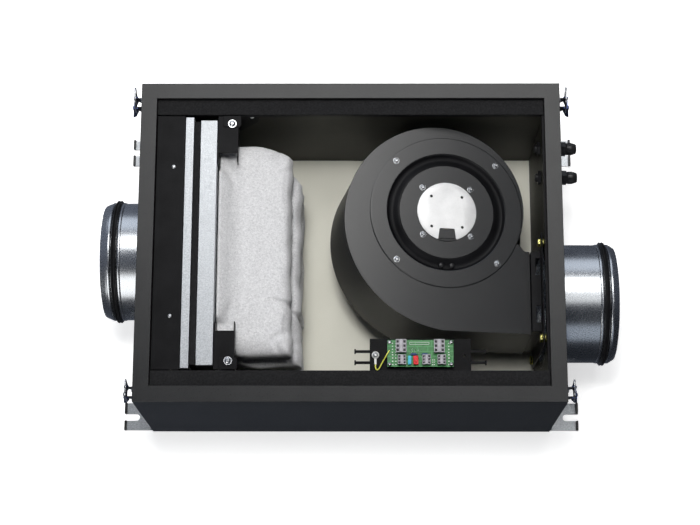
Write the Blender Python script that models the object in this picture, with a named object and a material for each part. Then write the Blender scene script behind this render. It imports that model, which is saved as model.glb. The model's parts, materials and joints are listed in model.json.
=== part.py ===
"""Supply-air ventilation unit, lying on its back with its access cover taken off.

X runs along the air flow, from the inlet spigot to the outlet spigot. Y runs across the
casing. Z points out of the open front, and the back of the casing lies in z = 0. The
origin is the centre of the back face. All lengths are in metres.
"""
from math import cos, pi, radians, sin

import bmesh
import bpy
from mathutils import Matrix, Vector

# ---- Driving dimensions ----------------------------------------------------------
LENGTH = 0.550          # casing, along the air flow
WIDTH = 0.425           # casing, across the air flow
DEPTH = 0.238           # casing, back to front rim
SHEET = 0.001           # casing sheet
FOLD = 0.0012           # inner sheet pieces
GAP = 0.0003            # left between pieces that touch
RIM = 0.0207            # width of the front rim
SHELL_TOP = 0.2350      # outer shell, under the front rim
LINER_X = 0.255         # inner faces of the liner
LINER_Y = 0.179
LINER_TOP = 0.2270
FLOOR = 0.010           # top of the floor sheet
LEDGE_Y = 0.1710        # inner edge of the ledges
LEDGE_Z = 0.2287        # top of the ledge sheet
DUCT_R = 0.079          # spigots for 160 mm duct
DUCT_Z = 0.119          # height of both spigot axes
OUTLET_Y = -0.0583      # the outlet is off the centre line
FRAME_X0 = -0.1967      # filter frame, upstream and downstream faces
FRAME_X1 = -0.1745
FRAME_Y = 0.164
FAN_CENTRE = Vector((0.1261, 0.0465, 0.2000))
FAN_TILT = radians(9.7)  # the fan leans towards the outlet
FAN_DEPTH = 0.130
SCROLL_SHEET = 0.0016
OUTLET_END = 0.2360     # where the fan's outlet stops, upright
COLLAR_Y = -0.0565      # collar between the fan and the outlet spigot
COLLAR_Z = 0.118
COLLAR_HALF = (0.0535, 0.0670)
BOARD_Z = 0.1840        # top of the circuit board's bracket
PCB_LOW = Vector((0.0480, -0.1584, 0.1900))
PCB_HIGH = Vector((0.1336, -0.1232, 0.1916))
EARTH_AT = (0.0327, -0.1417)
GLANDS_Y = (0.1041, 0.1445)
GLAND_Z = 0.167
LATCH_Y = 0.1950        # centres of the four latches
LEVER_U = 0.0110        # lever pivot, out from the side wall
LEVER_W = 0.2085        # and up from the back
BAIL_DROP = 0.0060      # bail pivot, below the lever pivot
BAIL_HALF = 0.0104
BAIL_TOP = 0.2440
WIRE_R = 0.0011
EAR_Y = 0.1930          # slots of the hanging ears
EAR_REACH = 0.3140
ROUND = 36              # sides of a large round piece
SMALL = 16              # sides of a small round piece

TO_X = Matrix.Rotation(pi / 2, 4, "Y")   # turns a piece's Z axis onto +X


# ---- Materials -------------------------------------------------------------------
PALETTE = {
    "graphite_paint": ((0.090, 0.093, 0.097), 0.50, 0.0),
    "dark_paint": ((0.018, 0.018, 0.019), 0.55, 0.0),
    "liner_paint": ((0.045, 0.044, 0.034), 0.60, 0.0),
    "floor_paint": ((0.54, 0.54, 0.47), 0.55, 0.0),
    "black_foam": ((0.016, 0.016, 0.017), 0.95, 0.0),
    "grey_foam": ((0.20, 0.20, 0.19), 0.95, 0.0),
    "galvanised": ((0.66, 0.68, 0.70), 0.38, 1.0),
    "fleece": ((0.76, 0.76, 0.77), 0.95, 0.0),
    "fan_paint": ((0.105, 0.107, 0.110), 0.38, 0.2),
    "bright_metal": ((0.90, 0.90, 0.90), 0.28, 1.0),
    "steel": ((0.60, 0.60, 0.60), 0.25, 1.0),
    "copper": ((0.60, 0.28, 0.14), 0.40, 1.0),
    "rubber": ((0.012, 0.012, 0.013), 0.55, 0.0),
    "black_plastic": ((0.014, 0.014, 0.015), 0.32, 0.0),
    "fan_plastic": ((0.05, 0.05, 0.055), 0.45, 0.0),
    "green_board": ((0.065, 0.30, 0.10), 0.35, 0.0),
    "white_plastic": ((0.82, 0.82, 0.80), 0.40, 0.0),
    "yellow_plastic": ((0.72, 0.70, 0.12), 0.45, 0.0),
}


def material(name):
    """Return the material called name, made on first use from the palette."""
    found = bpy.data.materials.get(name)
    if found:
        return found
    colour, roughness, metallic = PALETTE[name]
    made = bpy.data.materials.new(name)
    made.use_nodes = True
    shader = made.node_tree.nodes["Principled BSDF"]
    shader.inputs["Base Color"].default_value = (*colour, 1.0)
    shader.inputs["Roughness"].default_value = roughness
    shader.inputs["Metallic"].default_value = metallic
    made.diffuse_color = (*colour, 1.0)
    return made


# ---- Modelling helpers -----------------------------------------------------------
def clear_scene():
    for obj in list(bpy.data.objects):
        bpy.data.objects.remove(obj, do_unlink=True)


def empty(name, place, turn=(0, 0, 0), parent=None):
    """Return an empty at a world place, as the frame of what hangs on it."""
    obj = bpy.data.objects.new(name, None)
    bpy.context.scene.collection.objects.link(obj)
    obj.rotation_euler = turn
    obj.location = Vector(place) - (parent.location if parent else Vector())
    obj.parent = parent
    return obj


def add_object(name, bm, slot, parent=None, smooth=False):
    """Turn bm into an object. Its shape is given in the parent's own frame."""
    bmesh.ops.recalc_face_normals(bm, faces=bm.faces)
    mesh = bpy.data.meshes.new(name)
    bm.to_mesh(mesh)
    bm.free()
    mesh.materials.append(material(slot))
    if smooth:
        mesh.shade_smooth()
        mesh.set_sharp_from_angle(angle=radians(32))
    obj = bpy.data.objects.new(name, mesh)
    bpy.context.scene.collection.objects.link(obj)
    obj.parent = parent
    return obj


def combine(obj, bm, operation):
    """Cut the shape in bm out of obj, or join it on, with an exact Boolean."""
    helper = add_object("tool_" + obj.name, bm, "steel", obj.parent)
    helper.hide_render = True
    helper.display_type = "WIRE"
    step = obj.modifiers.new(operation.lower(), "BOOLEAN")
    step.operation = operation
    step.solver = "EXACT"
    step.use_self = operation == "UNION"
    step.object = helper


def cut(obj, bm):
    combine(obj, bm, "DIFFERENCE")


def join(obj, bm):
    combine(obj, bm, "UNION")


def soften(obj, width, segments=1):
    """Round the sharp edges of obj."""
    step = obj.modifiers.new("soften", "BEVEL")
    step.width = width
    step.segments = segments
    step.limit_method = "ANGLE"
    step.angle_limit = radians(40)


def add_box(bm, low, high):
    """Add a block between two corners, given in any order."""
    low, high = Vector(low), Vector(high)
    middle = (low + high) / 2
    size = [abs(h - l) for l, h in zip(low, high)]
    place = Matrix.Translation(middle) @ Matrix.Diagonal((*size, 1.0))
    bmesh.ops.create_cube(bm, size=1.0, matrix=place)


def box(low, high):
    bm = bmesh.new()
    add_box(bm, low, high)
    return bm


def add_loft(bm, rings, closed=False):
    """Join rings of points. A closed loft has no ends, an open one is capped."""
    loops = [[bm.verts.new(point) for point in ring] for ring in rings]
    pairs = list(zip(loops, loops[1:]))
    if closed:
        pairs.append((loops[-1], loops[0]))
    else:
        bm.faces.new(loops[0])
        bm.faces.new(loops[-1])
    for one, two in pairs:
        for i in range(len(one)):
            j = (i + 1) % len(one)
            bm.faces.new((one[i], one[j], two[j], two[i]))


def loft(rings, closed=False):
    bm = bmesh.new()
    add_loft(bm, rings, closed)
    return bm


def ring(apothem, z, sides=0, points=SMALL, place=Matrix()):
    """Points of a circle, or of a regular polygon with that distance to its flats."""
    result = []
    for i in range(points):
        angle = 2 * pi * i / points
        reach = apothem
        if sides:
            half = pi / sides
            reach = apothem / cos((angle % (2 * half)) - half)
        result.append(place @ Vector((reach * cos(angle), reach * sin(angle), z)))
    return result


def add_turned(bm, profile, closed=False, points=SMALL, place=Matrix()):
    """Turn a profile of (radius, z) or (distance to flats, z, sides) about Z."""
    rings = [ring(p[0], p[1], p[2] if len(p) > 2 else 0, points, place) for p in profile]
    add_loft(bm, rings, closed)


def turned(profile, closed=False, points=SMALL, place=Matrix()):
    bm = bmesh.new()
    add_turned(bm, profile, closed, points, place)
    return bm


def add_prism(bm, outline, low, high, place=Matrix()):
    """Extrude an outline in XY from low to high along Z."""
    rings = [[place @ Vector((x, y, z)) for x, y in outline] for z in (low, high)]
    add_loft(bm, rings)


def prism(outline, low, high, place=Matrix()):
    bm = bmesh.new()
    add_prism(bm, outline, low, high, place)
    return bm


def rectangle(half_x, half_y, z):
    """Corners of a level rectangle about the origin."""
    return [(-half_x, -half_y, z), (half_x, -half_y, z), (half_x, half_y, z), (-half_x, half_y, z)]


def corners(low_x, high_x, half_y, z):
    """Corners of a level rectangle that isn't centred in X."""
    return [(low_x, -half_y, z), (high_x, -half_y, z), (high_x, half_y, z), (low_x, half_y, z)]


def upright(x, half_y, low, high, centre_y=0.0):
    """Corners of a rectangle that faces along X."""
    y0, y1 = centre_y - half_y, centre_y + half_y
    return [(x, y0, low), (x, y1, low), (x, y1, high), (x, y0, high)]


def arc(x, y, radius, start, end, steps):
    """Points of an arc from start to end, in degrees."""
    angles = [radians(start + (end - start) * i / steps) for i in range(steps + 1)]
    return [(x + radius * cos(a), y + radius * sin(a)) for a in angles]


# Frames for outlines drawn in a plane that isn't level.
ALONG_Y = Matrix(((1, 0, 0, 0), (0, 0, 1, 0), (0, 1, 0, 0), (0, 0, 0, 1)))   # (x, z), along Y
ALONG_X = Matrix(((0, 0, 1, 0), (1, 0, 0, 0), (0, 1, 0, 0), (0, 0, 0, 1)))   # (y, z), along X


def places():
    """Signs and names of the four corners: end of the casing, then side."""
    for side_x, end_name in ((-1, "inlet"), (1, "outlet")):
        for side_y, side_name in ((-1, "low"), (1, "high")):
            yield side_x, side_y, f"{end_name}_{side_name}"


# ---- Casing ----------------------------------------------------------------------
def wall_holes(bm, sides):
    """Add rods through the end walls where the spigots and the glands pass."""
    reach = 0.040
    clear = 0.0008
    if "left" in sides:
        place = Matrix.Translation((-LENGTH / 2 - reach / 2, 0, DUCT_Z)) @ TO_X
        add_turned(bm, [(DUCT_R + clear, 0), (DUCT_R + clear, reach)], points=ROUND, place=place)
    if "right" in sides:
        x = LENGTH / 2 - reach / 2 - 0.004
        place = Matrix.Translation((x, OUTLET_Y, DUCT_Z)) @ TO_X
        add_turned(bm, [(DUCT_R + clear, 0), (DUCT_R + clear, reach)], points=ROUND, place=place)
        for y in GLANDS_Y:
            place = Matrix.Translation((x, y, GLAND_Z)) @ TO_X
            add_turned(bm, [(0.0064, 0), (0.0064, reach)], place=place)
    return bm


def outer_shell():
    """Back and four walls in one folded sheet, with a flange turned in at the front."""
    half_x, half_y = LENGTH / 2, WIDTH / 2
    flange = RIM - 0.0020
    rings = [
        rectangle(half_x, half_y, 0),
        rectangle(half_x, half_y, SHELL_TOP),
        rectangle(half_x - flange, half_y - flange, SHELL_TOP),
        rectangle(half_x - flange, half_y - flange, SHELL_TOP - SHEET),
        rectangle(half_x - SHEET, half_y - SHEET, SHELL_TOP - SHEET),
        rectangle(half_x - SHEET, half_y - SHEET, SHEET),
    ]
    shell = add_object("outer_shell", loft(rings), "graphite_paint")
    soften(shell, 0.0004)
    cut(shell, wall_holes(bmesh.new(), ("left", "right")))


def front_frame():
    """Rim round the opening, with a groove under its outer edge and a lip turned in."""
    open_x, open_y = LENGTH / 2 - RIM, WIDTH / 2 - RIM
    profile = [
        (0, DEPTH), (RIM, DEPTH), (RIM, DEPTH - 0.0018), (RIM - 0.0013, DEPTH - 0.0018),
        (RIM - 0.0013, SHELL_TOP + GAP), (0.0015, SHELL_TOP + GAP), (0.0015, 0.2305), (0, 0.2305),
    ]
    rings = [rectangle(open_x + out, open_y + out, z) for out, z in profile]
    frame = add_object("front_frame", loft(rings, closed=True), "graphite_paint")
    soften(frame, 0.0004)


def ledge_frame():
    """Folded frame inside the rim: two ledges that carry the foam, and a narrow lip."""
    outer_x, outer_y = 0.2660, 0.2080
    inlet_edge, outlet_edge = -0.2543, 0.2515
    low = LEDGE_Z - FOLD
    turned_in = 0.2215
    sheet = 0.0004
    rings = [
        rectangle(outer_x, outer_y, low),
        rectangle(outer_x, outer_y, LEDGE_Z),
        corners(inlet_edge, outlet_edge, LEDGE_Y, LEDGE_Z),
        corners(inlet_edge, outlet_edge, LEDGE_Y, turned_in),
        corners(inlet_edge - sheet, outlet_edge + FOLD, LEDGE_Y + FOLD, turned_in),
        corners(inlet_edge - sheet, outlet_edge + FOLD, LEDGE_Y + FOLD, low),
    ]
    add_object("ledge_frame", loft(rings, closed=True), "dark_paint")


def ledge_foam():
    """Foam strips on the two ledges, against which the access cover closes."""
    edge = WIDTH / 2 - RIM - GAP
    end = LENGTH / 2 - RIM - GAP
    for name, side in (("high", 1), ("low", -1)):
        strip = box((-end, side * LEDGE_Y, LEDGE_Z + GAP), (end, side * edge, 0.2320))
        soften(add_object("ledge_foam_" + name, strip, "black_foam"), 0.0006)


def wall_liner():
    """Inner sheet round the four sides."""
    rings = [
        rectangle(LINER_X, LINER_Y, 0.0093),
        rectangle(LINER_X, LINER_Y, LINER_TOP),
        rectangle(LINER_X + SHEET, LINER_Y + SHEET, LINER_TOP),
        rectangle(LINER_X + SHEET, LINER_Y + SHEET, 0.0093),
    ]
    liner = add_object("wall_liner", loft(rings, closed=True), "liner_paint")
    cut(liner, wall_holes(bmesh.new(), ("left", "right")))


def floor_liner():
    clear = 0.0005
    low = (-LINER_X + clear, -LINER_Y + clear, FLOOR - SHEET)
    add_object("floor_liner", box(low, (LINER_X - clear, LINER_Y - clear, FLOOR)), "floor_paint")


def insulation_tray():
    """Foam lining between the shell and the liner."""
    in_x, in_y = LINER_X + SHEET + GAP, LINER_Y + SHEET + GAP
    out_x, out_y = LENGTH / 2 - SHEET - GAP, WIDTH / 2 - SHEET - GAP
    low, top = SHEET + GAP, LINER_TOP
    rings = [
        rectangle(out_x, out_y, low), rectangle(out_x, out_y, top), rectangle(in_x, in_y, top),
        rectangle(in_x, in_y, FLOOR - SHEET - GAP),
    ]
    tray = add_object("insulation_tray", loft(rings), "grey_foam")
    cut(tray, wall_holes(bmesh.new(), ("left", "right")))


def spigot(name, side, y, reach, seal):
    """Round duct connection: flange inside, tube, seal groove and a tapered end."""
    root = -(LENGTH / 2 - LINER_X)
    groove, lip = 0.0045, 0.0010
    outer = [
        (0.0880, root - 0.0016), (0.0880, root - GAP), (DUCT_R, root - GAP),
        (DUCT_R, seal - groove), (DUCT_R - 0.001, seal - groove + lip),
        (DUCT_R - 0.001, seal + groove - lip), (DUCT_R, seal + groove),
        (DUCT_R - 0.0006, reach - 0.0060), (DUCT_R - 0.0030, reach - 0.0010), (0.0750, reach),
    ]
    bore = DUCT_R - 0.001 - FOLD
    inner = [(0.0750 - FOLD, reach), (bore, reach - 0.0060), (bore, root - 0.0016)]
    turn = TO_X if side > 0 else Matrix.Rotation(-pi / 2, 4, "Y")
    place = Matrix.Translation((side * LENGTH / 2, y, DUCT_Z)) @ turn
    bm = turned(outer + inner, closed=True, points=ROUND, place=place)
    add_object(name, bm, "galvanised", smooth=True)
    return place


def seal_ring(name, place, seal):
    """Rubber ring with two soft ridges, lying in the spigot's groove."""
    low = DUCT_R - 0.0007
    profile = [
        (low, -0.0034), (0.0797, -0.0036), (0.0822, -0.0020), (0.0808, -0.0004),
        (0.0829, 0.0012), (0.0800, 0.0034), (low, 0.0032),
    ]
    bm = turned([(r, seal + s) for r, s in profile], True, ROUND, place)
    add_object(name, bm, "rubber", smooth=True)


def spigots():
    for name, side, y, reach, seal in (
        ("inlet", -1, 0.0, 0.0542, 0.0365),
        ("outlet", 1, OUTLET_Y, 0.0757, 0.0602),
    ):
        place = spigot(name + "_spigot", side, y, reach, seal)
        seal_ring(name + "_seal", place, seal)


def inlet_cover():
    """Dark channel-shaped panel over the space between the inlet and the filter."""
    left, right, low, high = -0.2536, -0.2168, 0.2175, 0.2300
    section = [
        (left, high), (left, low), (left + FOLD, low), (left + FOLD, high - FOLD),
        (right - FOLD, high - FOLD), (right - FOLD, low), (right, low), (right, high),
    ]
    cover = add_object("inlet_cover", prism(section, -0.170, 0.170, ALONG_Y), "dark_paint")
    soften(cover, 0.0003)


def hanging_ears():
    """Folded ears, flush with the back, with a slot that is open at its end."""
    wall, sheet, upstand, lip = LENGTH / 2 + GAP, 0.0015, 0.0220, 0.0060
    section = [
        (wall, 0), (EAR_REACH, 0), (EAR_REACH, lip), (EAR_REACH - sheet, lip),
        (EAR_REACH - sheet, sheet), (wall + sheet, sheet), (wall + sheet, upstand), (wall, upstand),
    ]
    half, inner_end = 0.0046, 0.2985
    slot = arc(inner_end, EAR_Y, half, 90, 270, 8)
    slot += [(EAR_REACH + 0.005, EAR_Y - half), (EAR_REACH + 0.005, EAR_Y + half)]
    for side_x, side_y, name in places():
        outline = [(side_x * x, z) for x, z in section]
        strip = prism(outline, side_y * 0.1730, side_y * 0.2110, ALONG_Y)
        ear = add_object("ear_" + name, strip, "galvanised")
        cut(ear, prism([(side_x * x, side_y * y) for x, y in slot], -0.010, 0.010))


# ---- Filter ----------------------------------------------------------------------
def filter_bulkhead():
    """Galvanised channel ring that the filter seals against."""
    left, right = -0.2165, -0.2054
    profile = [
        (left, 0), (right, 0), (right, 0.030), (right - FOLD, 0.030),
        (right - FOLD, FOLD), (left, FOLD),
    ]
    rings = [upright(x, 0.168 - d, FLOOR + GAP + d, 0.2305 - d) for x, d in profile]
    bulkhead = add_object("filter_bulkhead", loft(rings, closed=True), "galvanised")
    soften(bulkhead, 0.0003)


def bulkhead_gasket():
    left, right = -0.2051, -0.1972
    profile = [(left, 0), (right, 0), (right, 0.018), (left, 0.018)]
    rings = [upright(x, 0.163 - d, 0.0130 + d, 0.2275 - d) for x, d in profile]
    add_object("bulkhead_gasket", loft(rings, closed=True), "black_foam")


def filter_frame(body):
    """Channel ring that holds the mouths of the filter pockets."""
    lip = 0.018
    profile = [
        (FRAME_X0, 0), (FRAME_X1, 0), (FRAME_X1, lip), (FRAME_X1 - FOLD, lip),
        (FRAME_X1 - FOLD, FOLD), (FRAME_X0 + FOLD, FOLD), (FRAME_X0 + FOLD, lip), (FRAME_X0, lip),
    ]
    rings = [upright(x, FRAME_Y - d, 0.0115 + d, 0.2300 - d) for x, d in profile]
    frame = add_object("filter_frame", loft(rings, closed=True), "galvanised", body)
    soften(frame, 0.0005)


def pocket_ring(x, y0, y1, z, half):
    """Cross-section of a pocket: a flat slab with rounded long edges."""
    steps = 3
    points = []
    for side, edge in ((1, y1), (-1, y0)):
        centre = edge - side * half
        for i in range(2 * steps + 1):
            angle = -pi / 2 + pi * i / (2 * steps)
            points.append((x, centre + side * half * cos(angle), z + side * half * sin(angle)))
    return points


def filter_pockets(body):
    """Four stacked fleece pockets, thick at the frame and closed at the far end."""
    pitch, first = 0.0435, 0.0460
    mouth = FRAME_X1 + GAP + 0.0005
    for i in range(4):
        top = i == 3
        tip = -0.0750 if top else -0.0638
        z = first + pitch * i
        low = -0.1455 if top else -0.1512
        high = 0.1255 if top else 0.1020
        length = tip - mouth
        stations = [
            (0.00, -0.1380, 0.1380, 0.0190), (0.25, -0.1420, 0.1450, 0.0206),
            (0.55, low, 0.1400, 0.0200), (0.82, low, high + 0.006, 0.0165),
            (0.95, low, high, 0.0105), (1.00, low + 0.004, high - 0.008, 0.0035),
        ]
        rings = [pocket_ring(mouth + s * length, y0, y1, z, half) for s, y0, y1, half in stations]
        add_object(f"filter_pocket_{i + 1}", loft(rings), "fleece", body, smooth=True)


def hold_downs(body):
    """Channel brackets that press on the filter's two ends, each with a rounded tab."""
    left, right, low, high = -0.1738, -0.1472, 0.2140, 0.2298
    section = [
        (left, high), (left, low), (left + 0.0014, low), (left + 0.0014, high - 0.0014),
        (right - 0.0014, high - 0.0014), (right - 0.0014, low), (right, low), (right, high),
    ]
    tab_left, tab_right, tip, root, r = -0.1672, -0.1437, 0.1545, 0.1696, 0.0030
    tab = [(tab_right, root), (tab_left, root)]
    tab += arc(tab_left + r, tip + r, r, 180, 270, 4) + arc(tab_right - r, tip + r, r, 270, 360, 4)
    for name, side in (("high", 1), ("low", -1)):
        channel = prism(section, side * 0.1070, side * 0.1696, ALONG_Y)
        bracket = add_object("hold_down_" + name, channel, "dark_paint", body)
        window = box((left + 0.0014, side * 0.1000, 0.2200), (right - 0.0014, side * 0.1190, 0.2400))
        cut(bracket, window)
        join(bracket, prism([(x, side * y) for x, y in tab], 0.2290, 0.2315))


def clip_plates():
    """Plates on the long walls that the hold-downs are screwed to."""
    left, right, low, high, r = -0.1680, -0.1200, 0.1500, 0.2190, 0.0060
    outline = [(left, high), (left, low), (left + 0.020, low), (right - 0.004, 0.185)]
    outline += arc(right - r, high - r, r, 0, 90, 4)
    for name, side in (("high", 1), ("low", -1)):
        inner, outer = LINER_Y - GAP - 0.0016, LINER_Y - GAP
        plate = prism(outline, side * inner, side * outer, ALONG_Y)
        add_object("clip_plate_" + name, plate, "dark_paint")


# ---- Fan -------------------------------------------------------------------------
def scroll_outline(grow, end):
    """Spiral wall, tongue and outlet in the fan's own plane, grown outwards."""
    tongue, steps = -22.0, 40
    top, bottom = -0.0500, -0.1590
    points = [(end, top + grow), (0.1080, top + grow)]
    points += [(0.1030 + grow * 0.4, -0.0480 + grow), (0.0985 + grow, -0.0430 + grow)]
    for i in range(steps + 1):
        angle = tongue + (268.0 - tongue) * i / steps
        quarter = angle / 90
        reach = 0.1035 + 0.0088 * quarter + 0.0032 * quarter ** 2 + grow
        points.append((reach * cos(radians(angle)), reach * sin(radians(angle))))
    points += [(end, bottom - grow)]
    return points


def outlet_trim(bm, x):
    """Add a block that cuts the slanting outlet upright at x, in the fan's frame."""
    place = Matrix.Rotation(-FAN_TILT, 4, "Y") @ Matrix.Translation(-FAN_CENTRE)
    corners = [place @ Vector(p) for p in upright(x, 0.20, -0.10, 0.30)]
    far = [place @ Vector(p) for p in upright(x + 0.10, 0.20, -0.10, 0.30)]
    add_loft(bm, [corners, far])
    return bm


def fan_scroll(fan):
    """Spiral housing: wall and bottom, open towards the lid and at the outlet."""
    top = -0.0018
    block = prism(scroll_outline(0, 0.150), -FAN_DEPTH, top)
    housing = add_object("fan_scroll", block, "fan_paint", fan)
    hollow = prism(scroll_outline(-SCROLL_SHEET, 0.170), -FAN_DEPTH + SCROLL_SHEET, 0.01)
    cut(housing, hollow)
    inlet = turned([(0.0680, -FAN_DEPTH - 0.01), (0.0680, -FAN_DEPTH + 0.01)], points=ROUND)
    cut(housing, outlet_trim(inlet, OUTLET_END))


def fan_lid(fan):
    lid = add_object("fan_lid", prism(scroll_outline(0.0008, 0.150), -0.0015, 0), "fan_paint", fan)
    hole = turned([(0.0815, -0.01), (0.0815, 0.01)], points=ROUND)
    cut(lid, outlet_trim(hole, OUTLET_END))


def motor_plate(fan):
    """Round plate over the lid, with a ring-shaped groove pressed into it."""
    profile = [
        (0.0240, 0.0018), (0.0640, 0.0018), (0.0655, -0.0050), (0.0775, -0.0050), (0.0790, 0.0018),
        (0.1020, 0.0018), (0.1020, 0.0003), (0.0805, 0.0003), (0.0790, -0.0065),
        (0.0640, -0.0065), (0.0625, 0.0003), (0.0240, 0.0003),
    ]
    add_object("motor_plate", turned(profile, True, 44), "fan_paint", fan, smooth=True)


def motor_disc(fan):
    """Bright end plate of the motor, with a cable notch and four holes."""
    disc = turned([(0.0396, 0.0021), (0.0396, 0.0031), (0.0391, 0.0036)], points=ROUND)
    plate = add_object("motor_disc", disc, "bright_metal", fan, smooth=True)
    notch = [(-0.0130, -0.0450), (0.0130, -0.0450), (0.0105, -0.0250), (0.0088, -0.0228),
             (-0.0088, -0.0228), (-0.0105, -0.0250)]
    holes = prism(notch, 0.0, 0.01)
    for x in (-0.0205, 0.0205):
        for y in (-0.0205, 0.0205):
            add_turned(holes, [(0.0014, 0), (0.0014, 0.01)], points=10, place=Matrix.Translation((x, y, 0)))
    cut(plate, holes)


def motor_stator(fan):
    """Fixed core of the motor, bored for the shaft's two bearings."""
    profile = [
        (0.0230, 0.0018), (0.0230, -0.0120), (0.0380, -0.0140), (0.0380, -0.0560),
        (0.0360, -0.0580), (0.0113, -0.0580), (0.0113, -0.0130),
    ]
    add_object("motor_stator", turned(profile, points=24), "copper", fan, smooth=True)


def motor_bearings(fan):
    for name, z in (("lower", -0.0560), ("upper", -0.0230)):
        profile = [(0.0044, z), (0.0110, z), (0.0110, z + 0.0070), (0.0044, z + 0.0070)]
        add_object("bearing_" + name, turned(profile, True, 20), "steel", fan, smooth=True)


def motor_shaft(rotor):
    shaft = turned([(0.0036, -0.0617), (0.0041, -0.0612), (0.0041, -0.0145), (0.0036, -0.0140)])
    add_object("motor_shaft", shaft, "steel", rotor, smooth=True)


def motor_rotor(rotor):
    """Cup that turns round the outside of the stator."""
    profile = [
        (0.0445, -0.0640), (0.0460, -0.0625), (0.0460, -0.0180), (0.0420, -0.0180), (0.0420, -0.0620),
    ]
    add_object("motor_rotor", turned(profile, points=28), "steel", rotor, smooth=True)


def impeller(rotor):
    """Hub disc, forward-curved blades and end ring, joined into one piece."""
    bottom, top = -0.1100, -0.0600
    disc = [(0.0463, -0.0600), (0.0810, -0.0600), (0.0810, -0.0620), (0.0463, -0.0620)]
    end_ring = [
        (0.0650, bottom), (0.0810, bottom), (0.0810, bottom - 0.002), (0.0650, bottom - 0.002),
    ]
    wheel = add_object("impeller", turned(disc, True, 28), "fan_plastic", rotor)
    extra = turned(end_ring, True, 28)
    count = 22
    for i in range(count):
        curve = [(0.0662, 0.0), (0.0715, 0.0010), (0.0765, 0.0045), (0.0796, 0.0100)]
        outline = curve + [(x - 0.0002, y + 0.0013) for x, y in reversed(curve)]
        turn = Matrix.Rotation(2 * pi * i / count, 4, "Z")
        add_prism(extra, outline, bottom - 0.001, top - 0.001, turn)
    join(wheel, extra)


def inlet_ring(fan):
    """Bell mouth under the impeller."""
    base = -FAN_DEPTH
    profile = [
        (0.0820, base - 0.0018), (0.0820, base - GAP), (0.0675, base - GAP), (0.0640, -0.1240),
        (0.0615, -0.1150), (0.0600, -0.1150), (0.0622, -0.1250), (0.0660, base - 0.0018),
    ]
    add_object("inlet_ring", turned(profile, True, 28), "galvanised", fan, smooth=True)


def outlet_collar():
    """Rectangular collar and flange that carry the fan on the outlet wall."""
    half_y, half_z = COLLAR_HALF
    sheet, flange_y, flange_z = 0.0015, 0.0220, 0.0150
    x0, x1, x2 = OUTLET_END + 0.0010, 0.2498, 0.2513
    profile = [
        (x0, half_y, half_z), (x1, half_y, half_z), (x1, half_y + flange_y, half_z + flange_z),
        (x2, half_y + flange_y, half_z + flange_z), (x2, half_y - sheet, half_z - sheet),
        (x0, half_y - sheet, half_z - sheet),
    ]
    rings = [upright(x, y, COLLAR_Z - z, COLLAR_Z + z, COLLAR_Y) for x, y, z in profile]
    collar = add_object("outlet_collar", loft(rings, closed=True), "dark_paint")
    slots = bmesh.new()
    for y in (-0.0985, -0.0345):
        add_box(slots, (0.2430, y, 0.180), (0.2490, y + 0.0225, 0.200))
    cut(collar, slots)


# ---- Connection board ------------------------------------------------------------
def finger(x, y, side):
    """Outline of one barbed finger, going out from the end of the bracket at x."""
    reach, half, barb, head = 0.0200, 0.0018, 0.0032, 0.0020
    neck = x + side * (reach - head)
    tip = x + side * reach
    lower = [(x, y - side * half), (neck, y - side * half), (neck, y - side * barb)]
    upper = [(neck, y + side * barb), (neck, y + side * half), (x, y + side * half)]
    return lower + [(tip, y - side * barb), (tip, y + side * barb)] + upper


def board_bracket():
    """Black bracket from the long wall, with two fingers at each end for cable ties."""
    left, right, back, front = 0.0253, 0.1567, -0.1785, -0.1200
    low_finger, high_finger = -0.1515, -0.1368
    outline = [(left, back), (right, back)]
    outline += finger(right, low_finger, 1) + finger(right, high_finger, 1)
    outline += [(right, front), (left, front)]
    outline += finger(left, high_finger, -1) + finger(left, low_finger, -1)
    plate = prism(outline, BOARD_Z - 0.0020, BOARD_Z)
    bracket = add_object("board_bracket", plate, "dark_paint")
    hole = [(0.0017, BOARD_Z - 0.01), (0.0017, BOARD_Z + 0.01)]
    cut(bracket, turned(hole, points=12, place=Matrix.Translation((0.1479, -0.1424, 0))))


def board_corners():
    inset = 0.0030
    for x in (PCB_LOW.x + inset, PCB_HIGH.x - inset):
        for y in (PCB_LOW.y + inset, PCB_HIGH.y - inset):
            yield x, y


def add_terminal_block(bm, x, y, width, length, height):
    """Stepped block, lower along its two long sides."""
    low = PCB_HIGH.z - 0.0005
    z = PCB_HIGH.z
    step = width * 0.28
    section = [
        (x - width / 2, low), (x + width / 2, low), (x + width / 2, z + height * 0.72),
        (x + width / 2 - step, z + height), (x - width / 2 + step, z + height),
        (x - width / 2, z + height * 0.72),
    ]
    add_prism(bm, section, y - length / 2, y + length / 2, ALONG_Y)


def circuit_board():
    """Board on four spacers, with its terminal blocks, fuse and capacitor soldered on."""
    board = add_object("circuit_board", box(PCB_LOW, PCB_HIGH), "green_board")
    parts = bmesh.new()
    for x, y in board_corners():
        place = Matrix.Translation((x, y, 0))
        spacer = [(0.0025, BOARD_Z + GAP, 6), (0.0025, PCB_LOW.z + 0.0005, 6)]
        add_turned(parts, spacer, points=12, place=place)
    for x in (0.0657, 0.1151):
        add_terminal_block(parts, x, -0.1322, 0.0135, 0.0165, 0.0095)
    for x in (0.0667, 0.0984, 0.1180):
        add_terminal_block(parts, x, -0.1497, 0.0105, 0.0115, 0.0085)
    low, y0, y1 = PCB_HIGH.z - 0.0005, -0.1564, -0.1446
    add_box(parts, (0.0745, y0, low), (0.0790, y1, PCB_HIGH.z + 0.0044))
    add_box(parts, (0.0815, y0, low), (0.0880, y1, PCB_HIGH.z + 0.0062))
    join(board, parts)


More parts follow.
